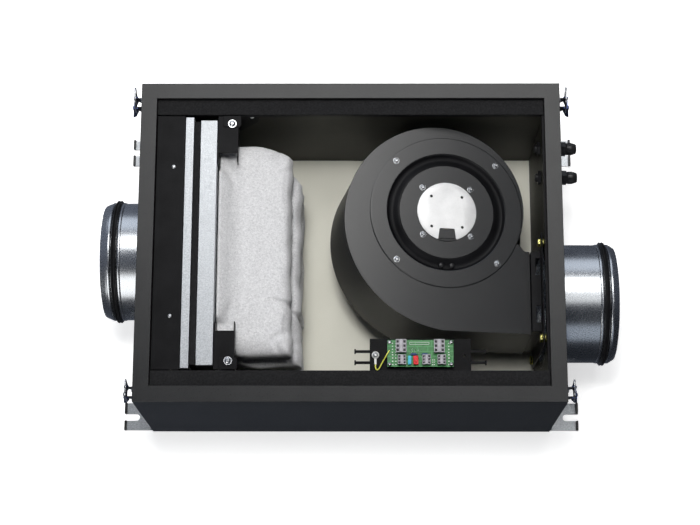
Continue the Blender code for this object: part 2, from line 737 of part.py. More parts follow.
def earth_lug():
    """Ring lug with its white sleeve, under one screw."""
    place = Matrix.Translation((*EARTH_AT, BOARD_Z + GAP))
    eye = [(0.0022, 0), (0.0048, 0), (0.0048, 0.0008), (0.0022, 0.0008)]
    lug = add_object("earth_lug", turned(eye, True, 20, place), "white_plastic", smooth=True)
    turn = Matrix.Rotation(pi / 2, 4, "X")
    sleeve = Matrix.Translation((EARTH_AT[0], EARTH_AT[1] - 0.0035, BOARD_Z + 0.0021)) @ turn
    tube = turned([(0.0016, 0), (0.0016, 0.0090)], points=12, place=sleeve)
    join(lug, tube)


def catmull(points, steps):
    """Smooth curve through the points."""
    ends = [points[0] * 2 - points[1]] + points + [points[-1] * 2 - points[-2]]
    result = []
    for a, b, c, d in zip(ends, ends[1:], ends[2:], ends[3:]):
        for i in range(steps):
            t = i / steps
            result.append(0.5 * (2 * b + (c - a) * t + (2 * a - 5 * b + 4 * c - d) * t ** 2
                                 + (3 * b - 3 * c + d - a) * t ** 3))
    return result + [points[-1]]


def add_wire(name, points, radius, slot, parent=None, sides=2):
    """Wire along the points, with closed ends."""
    curve = bpy.data.curves.new(name, "CURVE")
    curve.dimensions = "3D"
    curve.bevel_depth = radius
    curve.bevel_resolution = sides
    curve.use_fill_caps = True
    spline = curve.splines.new("POLY")
    spline.points.add(len(points) - 1)
    for node, point in zip(spline.points, points):
        node.co = (*point, 1.0)
    curve.materials.append(material(slot))
    obj = bpy.data.objects.new(name, curve)
    bpy.context.scene.collection.objects.link(obj)
    obj.parent = parent
    return obj


def earth_wire():
    """Yellow earth wire, from the lug round to the edge of the board."""
    route = [
        (0.0327, -0.1546, 0.1861), (0.0327, -0.1572, 0.1863), (0.0332, -0.1602, 0.1868),
        (0.0352, -0.1616, 0.1876), (0.0374, -0.1600, 0.1886), (0.0399, -0.1558, 0.1902),
        (0.0442, -0.1482, 0.1926), (0.0480, -0.1417, 0.1937), (0.0507, -0.1372, 0.1932),
    ]
    add_wire("earth_wire", catmull([Vector(p) for p in route], 3), 0.0008, "yellow_plastic")


# ---- Cable glands ----------------------------------------------------------------
def cable_glands():
    """Two glands: a body with its lock nut, clamped through the wall, and a dome nut."""
    wall = LENGTH / 2
    body = [
        (0.0045, LINER_X - 0.0080), (0.0058, LINER_X - 0.0080), (0.0058, LINER_X - 0.0045),
        (0.0083, LINER_X - 0.0044, 6), (0.0083, LINER_X - GAP, 6), (0.0058, LINER_X - GAP),
        (0.0058, wall + GAP), (0.0083, wall + GAP, 6),
        (0.0083, wall + 0.0045, 6), (0.0066, wall + 0.0046), (0.0066, wall + 0.0105),
        (0.0045, wall + 0.0105),
    ]
    dome = [
        (0.0071, wall + 0.0052), (0.0085, wall + 0.0052, 6), (0.0085, wall + 0.0140, 6),
        (0.0083, wall + 0.0150), (0.0080, wall + 0.0220), (0.0066, wall + 0.0268),
        (0.0046, wall + 0.0280), (0.0042, wall + 0.0270), (0.0042, wall + 0.0120), (0.0071, wall + 0.0115),
    ]
    for name, y in zip(("low", "high"), GLANDS_Y):
        place = Matrix.Translation((0, y, GLAND_Z)) @ TO_X
        add_object("gland_body_" + name, turned(body, True, 12, place), "black_plastic", smooth=True)
        add_object("gland_nut_" + name, turned(dome, True, 12, place), "black_plastic", smooth=True)


# ---- Latches ---------------------------------------------------------------------
def latch_place(side_x, side_y):
    """Frame of one latch: X out from the wall, Y across, Z up; x = 0 on the wall."""
    turn = Matrix.Diagonal((side_x, 1, 1, 1))
    return Matrix.Translation((side_x * LENGTH / 2, side_y * LATCH_Y, 0)) @ turn


def latch_base(side_x, side_y, name):
    """Base plate with two pointed cheeks, and the pin through them."""
    half, wall, plate, cheek = 0.0066, 0.0010, 0.0015, 0.0035
    low, high, foot = 0.180, 0.226, 0.1885
    outline = [(GAP, low), (plate, low), (plate, foot)]
    outline += arc(LEVER_U, LEVER_W, cheek, -50, 100, 6)
    outline += [(plate, LEVER_W + cheek), (plate, high), (GAP, high)]
    place = latch_place(side_x, side_y)
    base = add_object("latch_base_" + name, prism(outline, -half, half, place @ ALONG_Y), "steel")
    inner, outer = (plate, wall - half, low - 0.01), (0.03, half - wall, high + 0.01)
    cut(base, box(place @ Vector(inner), place @ Vector(outer)))
    end, pin_r = 0.0088, 0.0015
    pin = [(pin_r - 0.0003, -end), (pin_r, 0.0004 - end), (pin_r, end - 0.0004), (pin_r - 0.0003, end)]
    turn = Matrix.Rotation(pi / 2, 4, "X")
    across = place @ Matrix.Translation((LEVER_U, 0, LEVER_W)) @ turn
    join(base, turned(pin, points=12, place=across))


def latch_lever(name, side_x, pivot):
    """Folded lever: two side walls on the pin and a plate that ends in a finger lip."""
    half, wall, front = 0.0080, 0.0010, 0.0034
    outline = [
        (-0.0030, 0.0030), (front, 0.0030), (front, -0.0280), (0.0074, -0.0330), (0.0062, -0.0337),
        (0.0022, -0.0288), (-0.0004, -0.0190), (-0.0030, -0.0100),
    ]
    flip = Matrix.Diagonal((side_x, 1, 1, 1))
    lever = add_object("lever_" + name, prism(outline, -half, half, flip @ ALONG_Y), "steel", pivot)
    hollow = bmesh.new()
    add_box(hollow, (-side_x * 0.01, wall - half, -0.05), (side_x * (front - 0.0011), half - wall, 0.01))
    cut(lever, hollow)
    cut(lever, box((side_x * 0.0010, wall - half, -0.0050), (side_x * 0.0100, half - wall, 0.0100)))
    turn = Matrix.Rotation(pi / 2, 4, "X")
    below = Matrix.Translation((0, 0, -BAIL_DROP)) @ turn
    pin_hole, wire_hole, past = 0.0018, WIRE_R + GAP, 0.001
    holes = bmesh.new()
    for low, high in ((-half - past, wall - half + past), (half - wall - past, half + past)):
        add_turned(holes, [(pin_hole, low), (pin_hole, high)], points=12, place=turn)
        add_turned(holes, [(wire_hole, low), (wire_hole, high)], points=12, place=below)
    cut(lever, holes)


def latch_bail(name, side_x, pivot):
    """Wire loop that hooks the cover. Its two ends turn in the lever's walls."""
    reach = BAIL_TOP - WIRE_R - (LEVER_W - BAIL_DROP)
    lean, bend, end = -0.0030, 0.0050, 0.0071
    half_path = [(end, 0.0), (BAIL_HALF - 0.0018, 0.0), (BAIL_HALF - 0.0006, 0.0006)]
    half_path += [(BAIL_HALF, 0.0018), (BAIL_HALF, reach * 0.45)]
    half_path += [(BAIL_HALF - bend + y, reach - bend + z) for y, z in arc(0, 0, bend, 0, 90, 5)]
    path = [(y, z) for y, z in half_path] + [(-y, z) for y, z in reversed(half_path)]
    points = [Vector((side_x * lean * z / reach, y, z)) for y, z in path]
    add_wire("bail_" + name, points, WIRE_R, "steel", pivot)


def latches():
    for side_x, side_y, name in places():
        latch_base(side_x, side_y, name)
        at = latch_place(side_x, side_y) @ Vector((LEVER_U, 0, LEVER_W))
        lever_pivot = empty("pivot_lever_" + name, at)
        latch_lever(name, side_x, lever_pivot)
        bail_pivot = empty("pivot_bail_" + name, at - Vector((0, 0, BAIL_DROP)), parent=lever_pivot)
        latch_bail(name, side_x, bail_pivot)


# ---- Assembly --------------------------------------------------------------------
def casing():
    outer_shell()
    front_frame()
    ledge_frame()
    ledge_foam()
    wall_liner()
    floor_liner()
    insulation_tray()
    spigots()
    inlet_cover()
    hanging_ears()


def filter_set():
    filter_bulkhead()
    bulkhead_gasket()
    clip_plates()
    cassette = empty("cassette", (0, 0, 0))
    filter_frame(cassette)
    filter_pockets(cassette)
    hold_downs(cassette)


def fan_set():
    fan = empty("fan_axis", FAN_CENTRE, (0, FAN_TILT, 0))
    rotor = empty("rotor_axis", FAN_CENTRE, (0, FAN_TILT, 0))
    fan_scroll(fan)
    fan_lid(fan)
    motor_plate(fan)
    motor_disc(fan)
    motor_stator(fan)
    motor_bearings(fan)
    inlet_ring(fan)
    motor_shaft(rotor)
    motor_rotor(rotor)
    impeller(rotor)
    outlet_collar()


def board_set():
    board_bracket()
    circuit_board()
    earth_lug()
    earth_wire()


clear_scene()
casing()
filter_set()
fan_set()
board_set()
cable_glands()
latches()
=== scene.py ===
"""Looks of the supply air ventilation unit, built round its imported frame.

Metres, Z up, everything at rest in the frame's own axes: X along the air flow, Y across the
casing, Z out of the open front.
"""
import json
from math import atan2, cos, pi, radians, sin

import bmesh
import bpy
from mathutils import Matrix, Vector, noise


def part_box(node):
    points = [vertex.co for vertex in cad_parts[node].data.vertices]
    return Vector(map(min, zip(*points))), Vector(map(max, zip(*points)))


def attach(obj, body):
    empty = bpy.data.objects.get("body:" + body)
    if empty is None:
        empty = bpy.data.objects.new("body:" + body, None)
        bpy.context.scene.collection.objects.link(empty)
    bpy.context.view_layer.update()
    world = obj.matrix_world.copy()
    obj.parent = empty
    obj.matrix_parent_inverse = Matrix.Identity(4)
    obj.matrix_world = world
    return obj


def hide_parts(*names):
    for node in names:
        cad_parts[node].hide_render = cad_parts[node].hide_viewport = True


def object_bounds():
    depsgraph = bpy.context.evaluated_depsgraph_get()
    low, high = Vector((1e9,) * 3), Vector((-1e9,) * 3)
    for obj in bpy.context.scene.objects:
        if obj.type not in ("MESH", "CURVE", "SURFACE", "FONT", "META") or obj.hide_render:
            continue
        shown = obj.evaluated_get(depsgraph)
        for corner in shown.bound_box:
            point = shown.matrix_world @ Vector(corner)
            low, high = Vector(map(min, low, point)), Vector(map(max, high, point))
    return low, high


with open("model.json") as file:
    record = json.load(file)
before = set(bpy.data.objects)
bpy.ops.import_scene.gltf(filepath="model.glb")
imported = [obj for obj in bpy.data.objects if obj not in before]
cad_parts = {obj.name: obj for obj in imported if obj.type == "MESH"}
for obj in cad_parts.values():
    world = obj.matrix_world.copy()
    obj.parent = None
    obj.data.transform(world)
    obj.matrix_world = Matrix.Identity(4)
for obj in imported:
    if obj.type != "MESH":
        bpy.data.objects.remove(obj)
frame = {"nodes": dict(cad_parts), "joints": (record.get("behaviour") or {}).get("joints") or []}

CAD_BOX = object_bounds()
JOINTS = {joint["name"]: joint for joint in frame["joints"]}
SCENE = bpy.context.scene

# ---- Driving dimensions ----------------------------------------------------------
GAP = 0.0003             # left between pieces that touch
SHEET = 0.0012           # folded sheet
CHAMFER = 0.0002         # broken edge of small turned parts
SHARP = radians(35)      # edges above this angle stay sharp
DUCT_R = 0.079           # spigots for 160 mm duct
NOSE_TAPER = 0.0034      # how much the spigot's nose narrows
HEXAGON = 6
FAN_DEPTH = 0.130
SCROLL_SHEET = 0.0016
PLATE_TOP = 0.0018       # motor plate's face, above the lid's
GROOVE_DEEP = -0.0036    # bottom of the groove pressed into it
BLADES = 44
PLUG_OFFSET = 0.0205     # holes of the motor's end plate, from its axis
LATCH_WIRE_R = 0.0011
POCKET_STEPS = 66        # mesh steps along a pocket's long side
POCKET_STATIONS = 34     # and from its mouth to its free end
TOP_POCKET = 4
POCKET_NEAR = 0.138      # half the width of a pocket's mouth
CHANNEL_EDGE = 0.104     # the hold-downs start this far from the middle
SWELL = 0.0030           # furthest that the cloth run may move a point

OUTWARD = {side: Matrix.Rotation(side * pi / 2, 4, "Y") for side in (-1, 1)}   # Z turned to side * X
UP = Vector((0, 0, 1))
LIT_POINT = Vector((0, 0, 0.1))   # the softboxes face it
FAN_AT = Vector(JOINTS["fan_spin"]["pos_m"])
FAN_AXIS = Vector(JOINTS["fan_spin"]["axis"])
FAN_TILT = atan2(FAN_AXIS.x, FAN_AXIS.z)
FAN = Matrix.Translation(FAN_AT) @ Matrix.Rotation(FAN_TILT, 4, "Y")


# ---- Materials -------------------------------------------------------------------
class Shader:
    """A Principled material whose colour, roughness and bump come from nodes."""

    def __init__(self, name, **sockets):
        self.material = bpy.data.materials.new(name)
        self.material.use_nodes = True
        self.tree = self.material.node_tree
        self.principled = self.tree.nodes["Principled BSDF"]
        for socket, value in sockets.items():
            self.principled.inputs[socket.replace("_", " ")].default_value = value
        self.coordinates = self.add("ShaderNodeTexCoord").outputs["Object"]

    def add(self, kind, links=None, **settings):
        """Add a node. Links feed its sockets by name, settings are its own values."""
        node = self.tree.nodes.new(kind)
        for key, value in settings.items():
            if hasattr(node, key):
                setattr(node, key, value)
            else:
                node.inputs[key].default_value = value
        for socket, source in (links or {}).items():
            self.tree.links.new(source, node.inputs[socket])
        return node

    def stretch(self, scale):
        """Object coordinates, stretched along the axes."""
        return self.add("ShaderNodeMapping", {"Vector": self.coordinates}, Scale=scale).outputs[0]

    def noise(self, scale, detail=3.0, distortion=0.0, at=None):
        node = self.add(
            "ShaderNodeTexNoise", {"Vector": at or self.coordinates},
            Scale=scale, Detail=detail, Distortion=distortion,
        )
        return node.outputs["Fac"]

    def cells(self, scale, output="Distance", at=None):
        node = self.add("ShaderNodeTexVoronoi", {"Vector": at or self.coordinates}, Scale=scale)
        return node.outputs[output]

    def spread(self, value, low, high, start=0.3, end=0.7):
        """Map value from start..end to low..high."""
        node = self.add("ShaderNodeMapRange", {"Value": value})
        for socket, number in (("From Min", start), ("From Max", end), ("To Min", low), ("To Max", high)):
            node.inputs[socket].default_value = number
        return node.outputs["Result"]

    def blend(self, value, dark, light):
        """Colour between dark and light."""
        node = self.add("ShaderNodeMix", data_type="RGBA")
        self.tree.links.new(value, node.inputs[0])
        node.inputs[6].default_value = (*dark, 1)
        node.inputs[7].default_value = (*light, 1)
        return node.outputs[2]

    def add_values(self, one, two, share):
        """one and two, weighed by share of two."""
        node = self.add("ShaderNodeMix", data_type="FLOAT")
        node.inputs[0].default_value = share
        self.tree.links.new(one, node.inputs[2])
        self.tree.links.new(two, node.inputs[3])
        return node.outputs[0]

    def bump(self, height, strength, distance, under=None):
        links = {"Height": height}
        if under is not None:
            links["Normal"] = under
        node = self.add("ShaderNodeBump", links, Strength=strength, Distance=distance)
        return node.outputs["Normal"]

    def finish(self, colour, roughness, normal):
        for socket, source in (("Base Color", colour), ("Roughness", roughness), ("Normal", normal)):
            self.tree.links.new(source, self.principled.inputs[socket])
        return self.material


def mottled(name, dark, light, rough, patch, grain, strength, depth, share, specular=0.5, **sockets):
    """Surface with soft patches and a fine grain: paint, rubber, moulded plastic."""
    shader = Shader(name, Specular_IOR_Level=specular, **sockets)
    fine = shader.noise(grain, 4.0)
    tone = shader.add_values(shader.noise(patch, 3.0), fine, share)
    return shader.finish(
        shader.blend(shader.spread(tone, 0, 1, 0.38, 0.62), dark, light),
        shader.spread(fine, *rough),
        shader.bump(fine, strength, depth),
    )


def zinc(name, dark, light, rough, spangle, strength):
    """Galvanised sheet: crystals of slightly different shade and gloss, and a rolled grain."""
    shader = Shader(name, Metallic=1.0)
    crystals = shader.cells(spangle, "Color")
    grey = shader.add("ShaderNodeSeparateColor", {"Color": crystals}).outputs[0]
    rolled = shader.noise(1.0, 3.0, at=shader.stretch((900, 60, 900)))
    speckle = shader.noise(900.0, 4.0)
    tone = shader.add_values(grey, speckle, 0.45)
    normal = shader.bump(speckle, strength, 0.0003)
    return shader.finish(
        shader.blend(shader.spread(tone, 0, 1, 0.25, 0.75), dark, light),
        shader.spread(shader.add_values(grey, rolled, 0.5), *rough),
        shader.bump(grey, strength * 0.5, 0.0002, normal),
    )


def plated(name, dark, light, rough):
    """Bright metal with fine tool marks along one axis."""
    shader = Shader(name, Metallic=1.0)
    marks = shader.noise(1.0, 4.0, at=shader.stretch((60, 60, 900)))
    stains = shader.noise(120.0, 3.0)
    return shader.finish(
        shader.blend(shader.spread(stains, 0, 1), dark, light),
        shader.spread(marks, *rough),
        shader.bump(marks, 0.06, 0.0001),
    )


def fleece_material():
    """Needle-punched fleece: matted fibres in clumps, with a soft sheen."""
    shader = Shader("fleece_fibres", Sheen_Weight=0.35, Sheen_Roughness=0.6, Specular_IOR_Level=0.15)
    clumps = shader.noise(430.0, 4.0, 0.8)
    fibres = shader.noise(1500.0, 6.0, 2.5)
    threads = shader.noise(1.0, 4.0, 1.5, shader.stretch((500, 1700, 900)))
    matted = shader.add_values(fibres, threads, 0.5)
    tone = shader.add_values(clumps, matted, 0.5)
    soft = shader.bump(clumps, 0.45, 0.0006)
    return shader.finish(
        shader.blend(shader.spread(tone, 0, 1, 0.36, 0.62), (0.44, 0.44, 0.455), (0.73, 0.73, 0.74)),
        shader.spread(clumps, 0.85, 1.0),
        shader.bump(matted, 0.5, 0.0008, soft),
    )


def foam_material(name, dark, light, cell):
    """Closed-cell foam: cut cells that show as a grain."""
    shader = Shader(name, Specular_IOR_Level=0.25)
    cells = shader.cells(cell)
    patches = shader.noise(cell * 0.55, 4.0)
    tone = shader.add_values(cells, patches, 0.6)
    rough = shader.bump(patches, 0.6, 0.0010)
    return shader.finish(
        shader.blend(shader.spread(tone, 0, 1, 0.30, 0.68), dark, light),
        shader.spread(patches, 0.75, 0.98),
        shader.bump(cells, 0.5, 0.0006, rough),
    )


def copper_material():
    """Enamelled windings between dark laminations."""
    shader = Shader("copper_windings", Metallic=1.0)
    turns = shader.add("ShaderNodeTexWave", {"Vector": shader.coordinates}, bands_direction="Z",
                       Scale=320.0, Distortion=1.2).outputs["Fac"]
    stains = shader.noise(150.0)
    return shader.finish(
        shader.blend(turns, (0.30, 0.11, 0.05), (0.72, 0.34, 0.16)),
        shader.spread(stains, 0.25, 0.45),
        shader.bump(turns, 0.6, 0.0006),
    )


def board_material():
    """Green solder mask over copper tracks, which show as paler raised lines."""
    shader = Shader("green_mask", Coat_Weight=0.3, Coat_Roughness=0.15)
    tracks = shader.add(
        "ShaderNodeTexBrick", {"Vector": shader.coordinates}, offset=0.37, offset_frequency=3, squash=1.6,
        squash_frequency=2, Scale=38.0,
    )
    tracks.inputs["Mortar Size"].default_value = 0.03
    tracks.inputs["Mortar Smooth"].default_value = 0.3
    lines = tracks.outputs["Fac"]
    stains = shader.noise(300.0)
    tone = shader.add_values(stains, lines, 0.45)
    return shader.finish(
        shader.blend(shader.spread(tone, 0, 1, 0.2, 0.75), (0.030, 0.150, 0.042), (0.070, 0.260, 0.090)),
        shader.spread(stains, 0.25, 0.42),
        shader.bump(lines, 0.3, 0.0002),
    )


# key: material, dark and light colour, roughness, patch scale, grain scale, bump and its depth,
# share of grain, specular level
COATS = {
    "graphite_paint": ("graphite_powder_coat", (0.010, 0.0103, 0.011), (0.016, 0.0163, 0.017),
        (0.27, 0.35), 26, 1100, 0.25, 0.0002, 0.55, 0.4),
    # outer walls: the rim's graphite paint in a bluer tone of their own, painted light and shade for how
    # the light falls on the walls
    "wall_painted_light": ("graphite_powder_coat_walls_painted_light", (0.013, 0.0145, 0.017), (0.019, 0.021, 0.024),
        (0.32, 0.42), 22, 1100, 0.25, 0.0002, 0.55, 0.4),
    "dark_paint": ("black_powder_coat", (0.005, 0.005, 0.0055), (0.010, 0.010, 0.011),
        (0.32, 0.44), 40, 900, 0.30, 0.00025, 0.6, 0.08),
    # inner walls: the lining painted near-black olive, painted shade standing for the shade on the walls
    # below the rim and ledge
    "liner_paint": ("lining_painted_shade", (0.020, 0.020, 0.015), (0.030, 0.0295, 0.022),
        (0.50, 0.62), 14, 900, 0.20, 0.0002, 0.35, 0.3),
    "floor_paint": ("beige_lining_paint", (0.66, 0.65, 0.57), (0.73, 0.72, 0.635),
        (0.42, 0.55), 9, 800, 0.12, 0.0002, 0.3),
    "fan_paint": ("fan_satin_coat", (0.012, 0.0123, 0.013), (0.016, 0.0163, 0.017),
        (0.22, 0.27), 18, 1300, 0.06, 0.0001, 0.35, 0.75),
    "scroll_paint": ("scroll_satin_coat", (0.014, 0.0145, 0.015), (0.020, 0.0205, 0.021),
        (0.34, 0.42), 18, 1300, 0.06, 0.0001, 0.35, 0.09),
    # groove pressed into the motor plate: the plate's paint made near-black, painted shade in the recess
    "groove_paint": ("fan_groove_painted_shade", (0.004, 0.004, 0.0045), (0.008, 0.008, 0.009),
        (0.34, 0.44), 30, 1300, 0.08, 0.0001, 0.4, 0.12),
    "rubber": ("black_rubber", (0.006, 0.006, 0.007), (0.014, 0.014, 0.015),
        (0.26, 0.42), 60, 800, 0.10, 0.0002, 0.5),
    "black_plastic": ("black_polyamide", (0.008, 0.008, 0.009), (0.016, 0.016, 0.017),
        (0.26, 0.36), 60, 1200, 0.12, 0.00015, 0.5),
    "fan_plastic": ("dark_moulding", (0.035, 0.035, 0.039), (0.058, 0.058, 0.063),
        (0.40, 0.50), 50, 1000, 0.15, 0.0002, 0.5),
    "white_plastic": ("white_sleeve", (0.70, 0.70, 0.68), (0.86, 0.86, 0.84),
        (0.32, 0.45), 90, 1000, 0.10, 0.0001, 0.5),
    "yellow_plastic": ("yellow_insulation", (0.60, 0.60, 0.06), (0.80, 0.80, 0.16),
        (0.35, 0.50), 90, 1000, 0.10, 0.0001, 0.5),
    "terminal_grey": ("terminal_moulding", (0.34, 0.33, 0.36), (0.46, 0.45, 0.48),
        (0.34, 0.46), 160, 1600, 0.12, 0.0001, 0.5),
    # wire openings of the terminal blocks: near-black, painted shade standing for the dark inside the holes
    "socket_black": ("terminal_openings_painted_shade", (0.010, 0.010, 0.012), (0.024, 0.024, 0.027),
        (0.45, 0.60), 160, 1600, 0.12, 0.0001, 0.5),
    "blue_film": ("blue_capacitor_case", (0.03, 0.36, 0.50), (0.08, 0.52, 0.66),
        (0.22, 0.34), 160, 1600, 0.10, 0.0001, 0.5),
    "navy_case": ("navy_resistor_case", (0.012, 0.035, 0.12), (0.03, 0.07, 0.20),
        (0.25, 0.38), 160, 1600, 0.10, 0.0001, 0.5),
    "red_case": ("red_fuse_holder", (0.55, 0.012, 0.02), (0.78, 0.03, 0.04),
        (0.22, 0.34), 160, 1600, 0.10, 0.0001, 0.5),
    "white_ink": ("white_marking_ink", (0.62, 0.66, 0.62), (0.80, 0.83, 0.80),
        (0.45, 0.60), 160, 1600, 0.10, 0.0001, 0.5),
}
METALS = {      # key: material, dark and light colour, roughness
    "steel": ("bright_zinc_plate", (0.66, 0.67, 0.69), (0.88, 0.89, 0.90), (0.16, 0.28)),
    "nickel": ("nickel_plate", (0.72, 0.73, 0.74), (0.88, 0.88, 0.88), (0.30, 0.42)),
    "latch_steel": ("dark_chrome", (0.20, 0.21, 0.24), (0.42, 0.43, 0.47), (0.10, 0.22)),
    "black_steel": ("black_passivated_steel", (0.018, 0.018, 0.022), (0.050, 0.050, 0.060), (0.22, 0.36)),
    "blue_steel": ("blue_passivated_steel", (0.035, 0.050, 0.130), (0.080, 0.105, 0.240), (0.16, 0.30)),
    "yellow_zinc": ("yellow_zinc_plate", (0.52, 0.47, 0.12), (0.76, 0.72, 0.28), (0.22, 0.36)),
}
MATERIALS = {key: mottled(*values) for key, values in COATS.items()}
MATERIALS.update((key, plated(*values)) for key, values in METALS.items())
MATERIALS.update({
    "black_foam": foam_material("black_foam_cells", (0.006, 0.006, 0.0065), (0.017, 0.017, 0.018), 420),
    "grey_foam": foam_material("grey_foam_cells", (0.11, 0.11, 0.105), (0.25, 0.25, 0.24), 350),
    "galvanised": zinc("galvanised_sheet", (0.42, 0.44, 0.46), (0.62, 0.64, 0.66), (0.36, 0.52), 780, 0.12),
    "spigot_zinc": zinc("galvanised_spigot", (0.63, 0.66, 0.69), (0.69, 0.71, 0.74), (0.25, 0.29),
                        1100, 0.012),
    "bright_metal": mottled("bright_end_plate", (0.74, 0.74, 0.74), (0.84, 0.84, 0.84), (0.40, 0.50),
                            60, 900, 0.05, 0.0001, 0.5, Metallic=0.35),
    "copper": copper_material(),
    "fleece": fleece_material(),
    "green_board": board_material(),
})


# ---- Modelling helpers -----------------------------------------------------------
def middle(node):
    """Centre of a node's box."""
    low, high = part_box(node)
    return (low + high) / 2


def side_of(name):
    """-1 at the inlet's end, 1 at the outlet's."""
    return -1 if name.startswith("inlet") else 1


def outer_x(node, side):
    """X of a node's face on one side."""
    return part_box(node)[0 if side < 0 else 1].x


def new_object(name, bm, outward=True):
    """Put bm into the scene, as a rule with its faces turned outwards."""
    if outward:
        bmesh.ops.recalc_face_normals(bm, faces=bm.faces)
    mesh = bpy.data.meshes.new(name)
    bm.to_mesh(mesh)
    bm.free()
    made = bpy.data.objects.new(name, mesh)
    SCENE.collection.objects.link(made)
    return made


def place_piece(name, bm, materials, body="casing", node=None, smooth=True, matrix=None):
    """Turn bm into a piece that rides on body and, if a node is named, stands for it."""
    materials = materials.split()
    piece = new_object(name, bm)
    for material in materials:
        piece.data.materials.append(MATERIALS[material])
    if smooth:
        piece.data.shade_smooth()
        piece.data.set_sharp_from_angle(angle=SHARP)
    if matrix is not None:
        piece.matrix_world = matrix
    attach(piece, body)
    if node:
        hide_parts(node)
    return piece


def add_bevel(piece, width, segments):
    """Bevel the sharp edges of a piece."""
    step = piece.modifiers.new("soften", "BEVEL")
    step.width = width
    step.segments = segments
    step.limit_method = "ANGLE"
    step.angle_limit = radians(40)
    return step


def soften(piece, width, segments):
    """Round the sharp edges of a piece."""
    add_bevel(piece, width, segments).harden_normals = True
    piece.data.shade_smooth()
    piece.data.set_sharp_from_angle(angle=SHARP)
    return piece


def add_block(bm, low, high, matrix=Matrix()):
    """Add a block between two corners, given in any order."""
    low, high = Vector(low), Vector(high)
    size = [abs(h - l) for l, h in zip(low, high)]
    place = matrix @ Matrix.Translation((low + high) / 2) @ Matrix.Diagonal((*size, 1.0))
    bmesh.ops.create_cube(bm, size=1.0, matrix=place)


def add_loft(bm, rings, closed=False, caps=True):
    """Join rings of points. A closed loft has no ends, an open one is capped if asked for."""
    loops = [[bm.verts.new(point) for point in ring] for ring in rings]
    pairs = list(zip(loops, loops[1:]))
    if closed:
        pairs.append((loops[-1], loops[0]))
    elif caps:
        bm.faces.new(loops[0])
        bm.faces.new(loops[-1])
    for one, two in pairs:
        for i in range(len(one)):
            j = (i + 1) % len(one)
            bm.faces.new((one[i], one[j], two[j], two[i]))


def ring(radius, z, sides=0, points=64, matrix=Matrix()):
    """Points of a circle, or of a regular polygon with that distance to its flats."""
    result = []
    for i in range(points):
        angle = 2 * pi * i / points
        reach = radius
        if sides:
            half = pi / sides
            reach = radius / cos((angle % (2 * half)) - half)
        result.append(matrix @ Vector((reach * cos(angle), reach * sin(angle), z)))
    return result


def add_turned(bm, profile, closed=False, points=64, matrix=Matrix()):
    """Turn a profile of (radius, z) or (distance to flats, z, sides) about Z."""
    rings = [ring(p[0], p[1], p[2] if len(p) > 2 else 0, points, matrix) for p in profile]
    add_loft(bm, rings, closed)


def turned(profile, closed=False, points=64, matrix=Matrix()):
    """A profile turned about Z, as a shape of its own."""
    bm = bmesh.new()
    add_turned(bm, profile, closed, points, matrix)
    return bm


def prism(outline, low, high):
    """Extrude an outline in XY from low to high along Z."""
    bm = bmesh.new()
    add_loft(bm, [[Vector((x, y, z)) for x, y in outline] for z in (low, high)])
    return bm


def arc(x, y, radius, start, end, steps):
    """Points of an arc from start to end, in degrees."""
    angles = [radians(start + (end - start) * i / steps) for i in range(steps + 1)]
    return [(x + radius * cos(a), y + radius * sin(a)) for a in angles]


def cut(piece, bm):
    """Cut the shape in bm out of a piece."""
    tool = new_object("tool_" + piece.name, bm)
    step = piece.modifiers.new("cut", "BOOLEAN")
    step.operation = "DIFFERENCE"
    step.solver = "EXACT"
    step.object = tool
    apply_modifiers(piece)
    bpy.data.objects.remove(tool)


def apply_modifiers(piece):
    """Replace a piece's mesh by what its modifiers make of it."""
    graph = bpy.context.evaluated_depsgraph_get()
    mesh = bpy.data.meshes.new_from_object(piece.evaluated_get(graph))
    piece.modifiers.clear()
    piece.data = mesh


def tube(bm, points, radius, sides):
    """Round bar along smooth points, kept upright without twist."""
    rings = []
    side = None
    for i, point in enumerate(points):
        ahead = points[min(i + 1, len(points) - 1)] - points[max(i - 1, 0)]
        ahead.normalize()
        if side is None:
            side = ahead.orthogonal().normalized()
        side = (side - ahead * side.dot(ahead)).normalized()
        other = ahead.cross(side)
        angles = [2 * pi * k / sides for k in range(sides)]
        rings.append([point + side * radius * cos(a) + other * radius * sin(a) for a in angles])
    add_loft(bm, rings)


def smooth_path(points, steps):
    """Catmull-Rom curve through the points."""
    ends = [points[0] * 2 - points[1]] + points + [points[-1] * 2 - points[-2]]
    result = []
    for a, b, c, d in zip(ends, ends[1:], ends[2:], ends[3:]):
        for i in range(steps):
            t = i / steps
            result.append(0.5 * (2 * b + (c - a) * t + (2 * a - 5 * b + 4 * c - d) * t ** 2
                                 + (3 * b - 3 * c + d - a) * t ** 3))
    return result + [points[-1]]


# ---- Frame nodes that stay -------------------------------------------------------
KEPT = {
    # outer_shell takes the walls' painted-light tone of the graphite paint
    "outer_shell": ("wall_painted_light", 0.0006), "front_frame": ("graphite_paint", 0.0006),
    "ledge_frame": ("dark_paint", 0.0002), "ledge_foam_high": ("black_foam", 0.0005),
    # wall_liner takes the near-black painted shade
    "ledge_foam_low": ("black_foam", 0.0005), "wall_liner": ("liner_paint", 0.0),
    "floor_liner": ("floor_paint", 0.0002), "insulation_tray": ("grey_foam", 0.0),
    "inlet_cover": ("dark_paint", 0.0003), "filter_bulkhead": ("galvanised", 0.0007),
    "bulkhead_gasket": ("black_foam", 0.0006), "filter_frame": ("galvanised", 0.0007),
    "hold_down_high": ("dark_paint", 0.0003), "hold_down_low": ("dark_paint", 0.0003),
    "clip_plate_high": ("dark_paint", 0.0003), "clip_plate_low": ("dark_paint", 0.0003),
    "outlet_collar": ("dark_paint", 0.0003), "board_bracket": ("dark_paint", 0.0003),
}


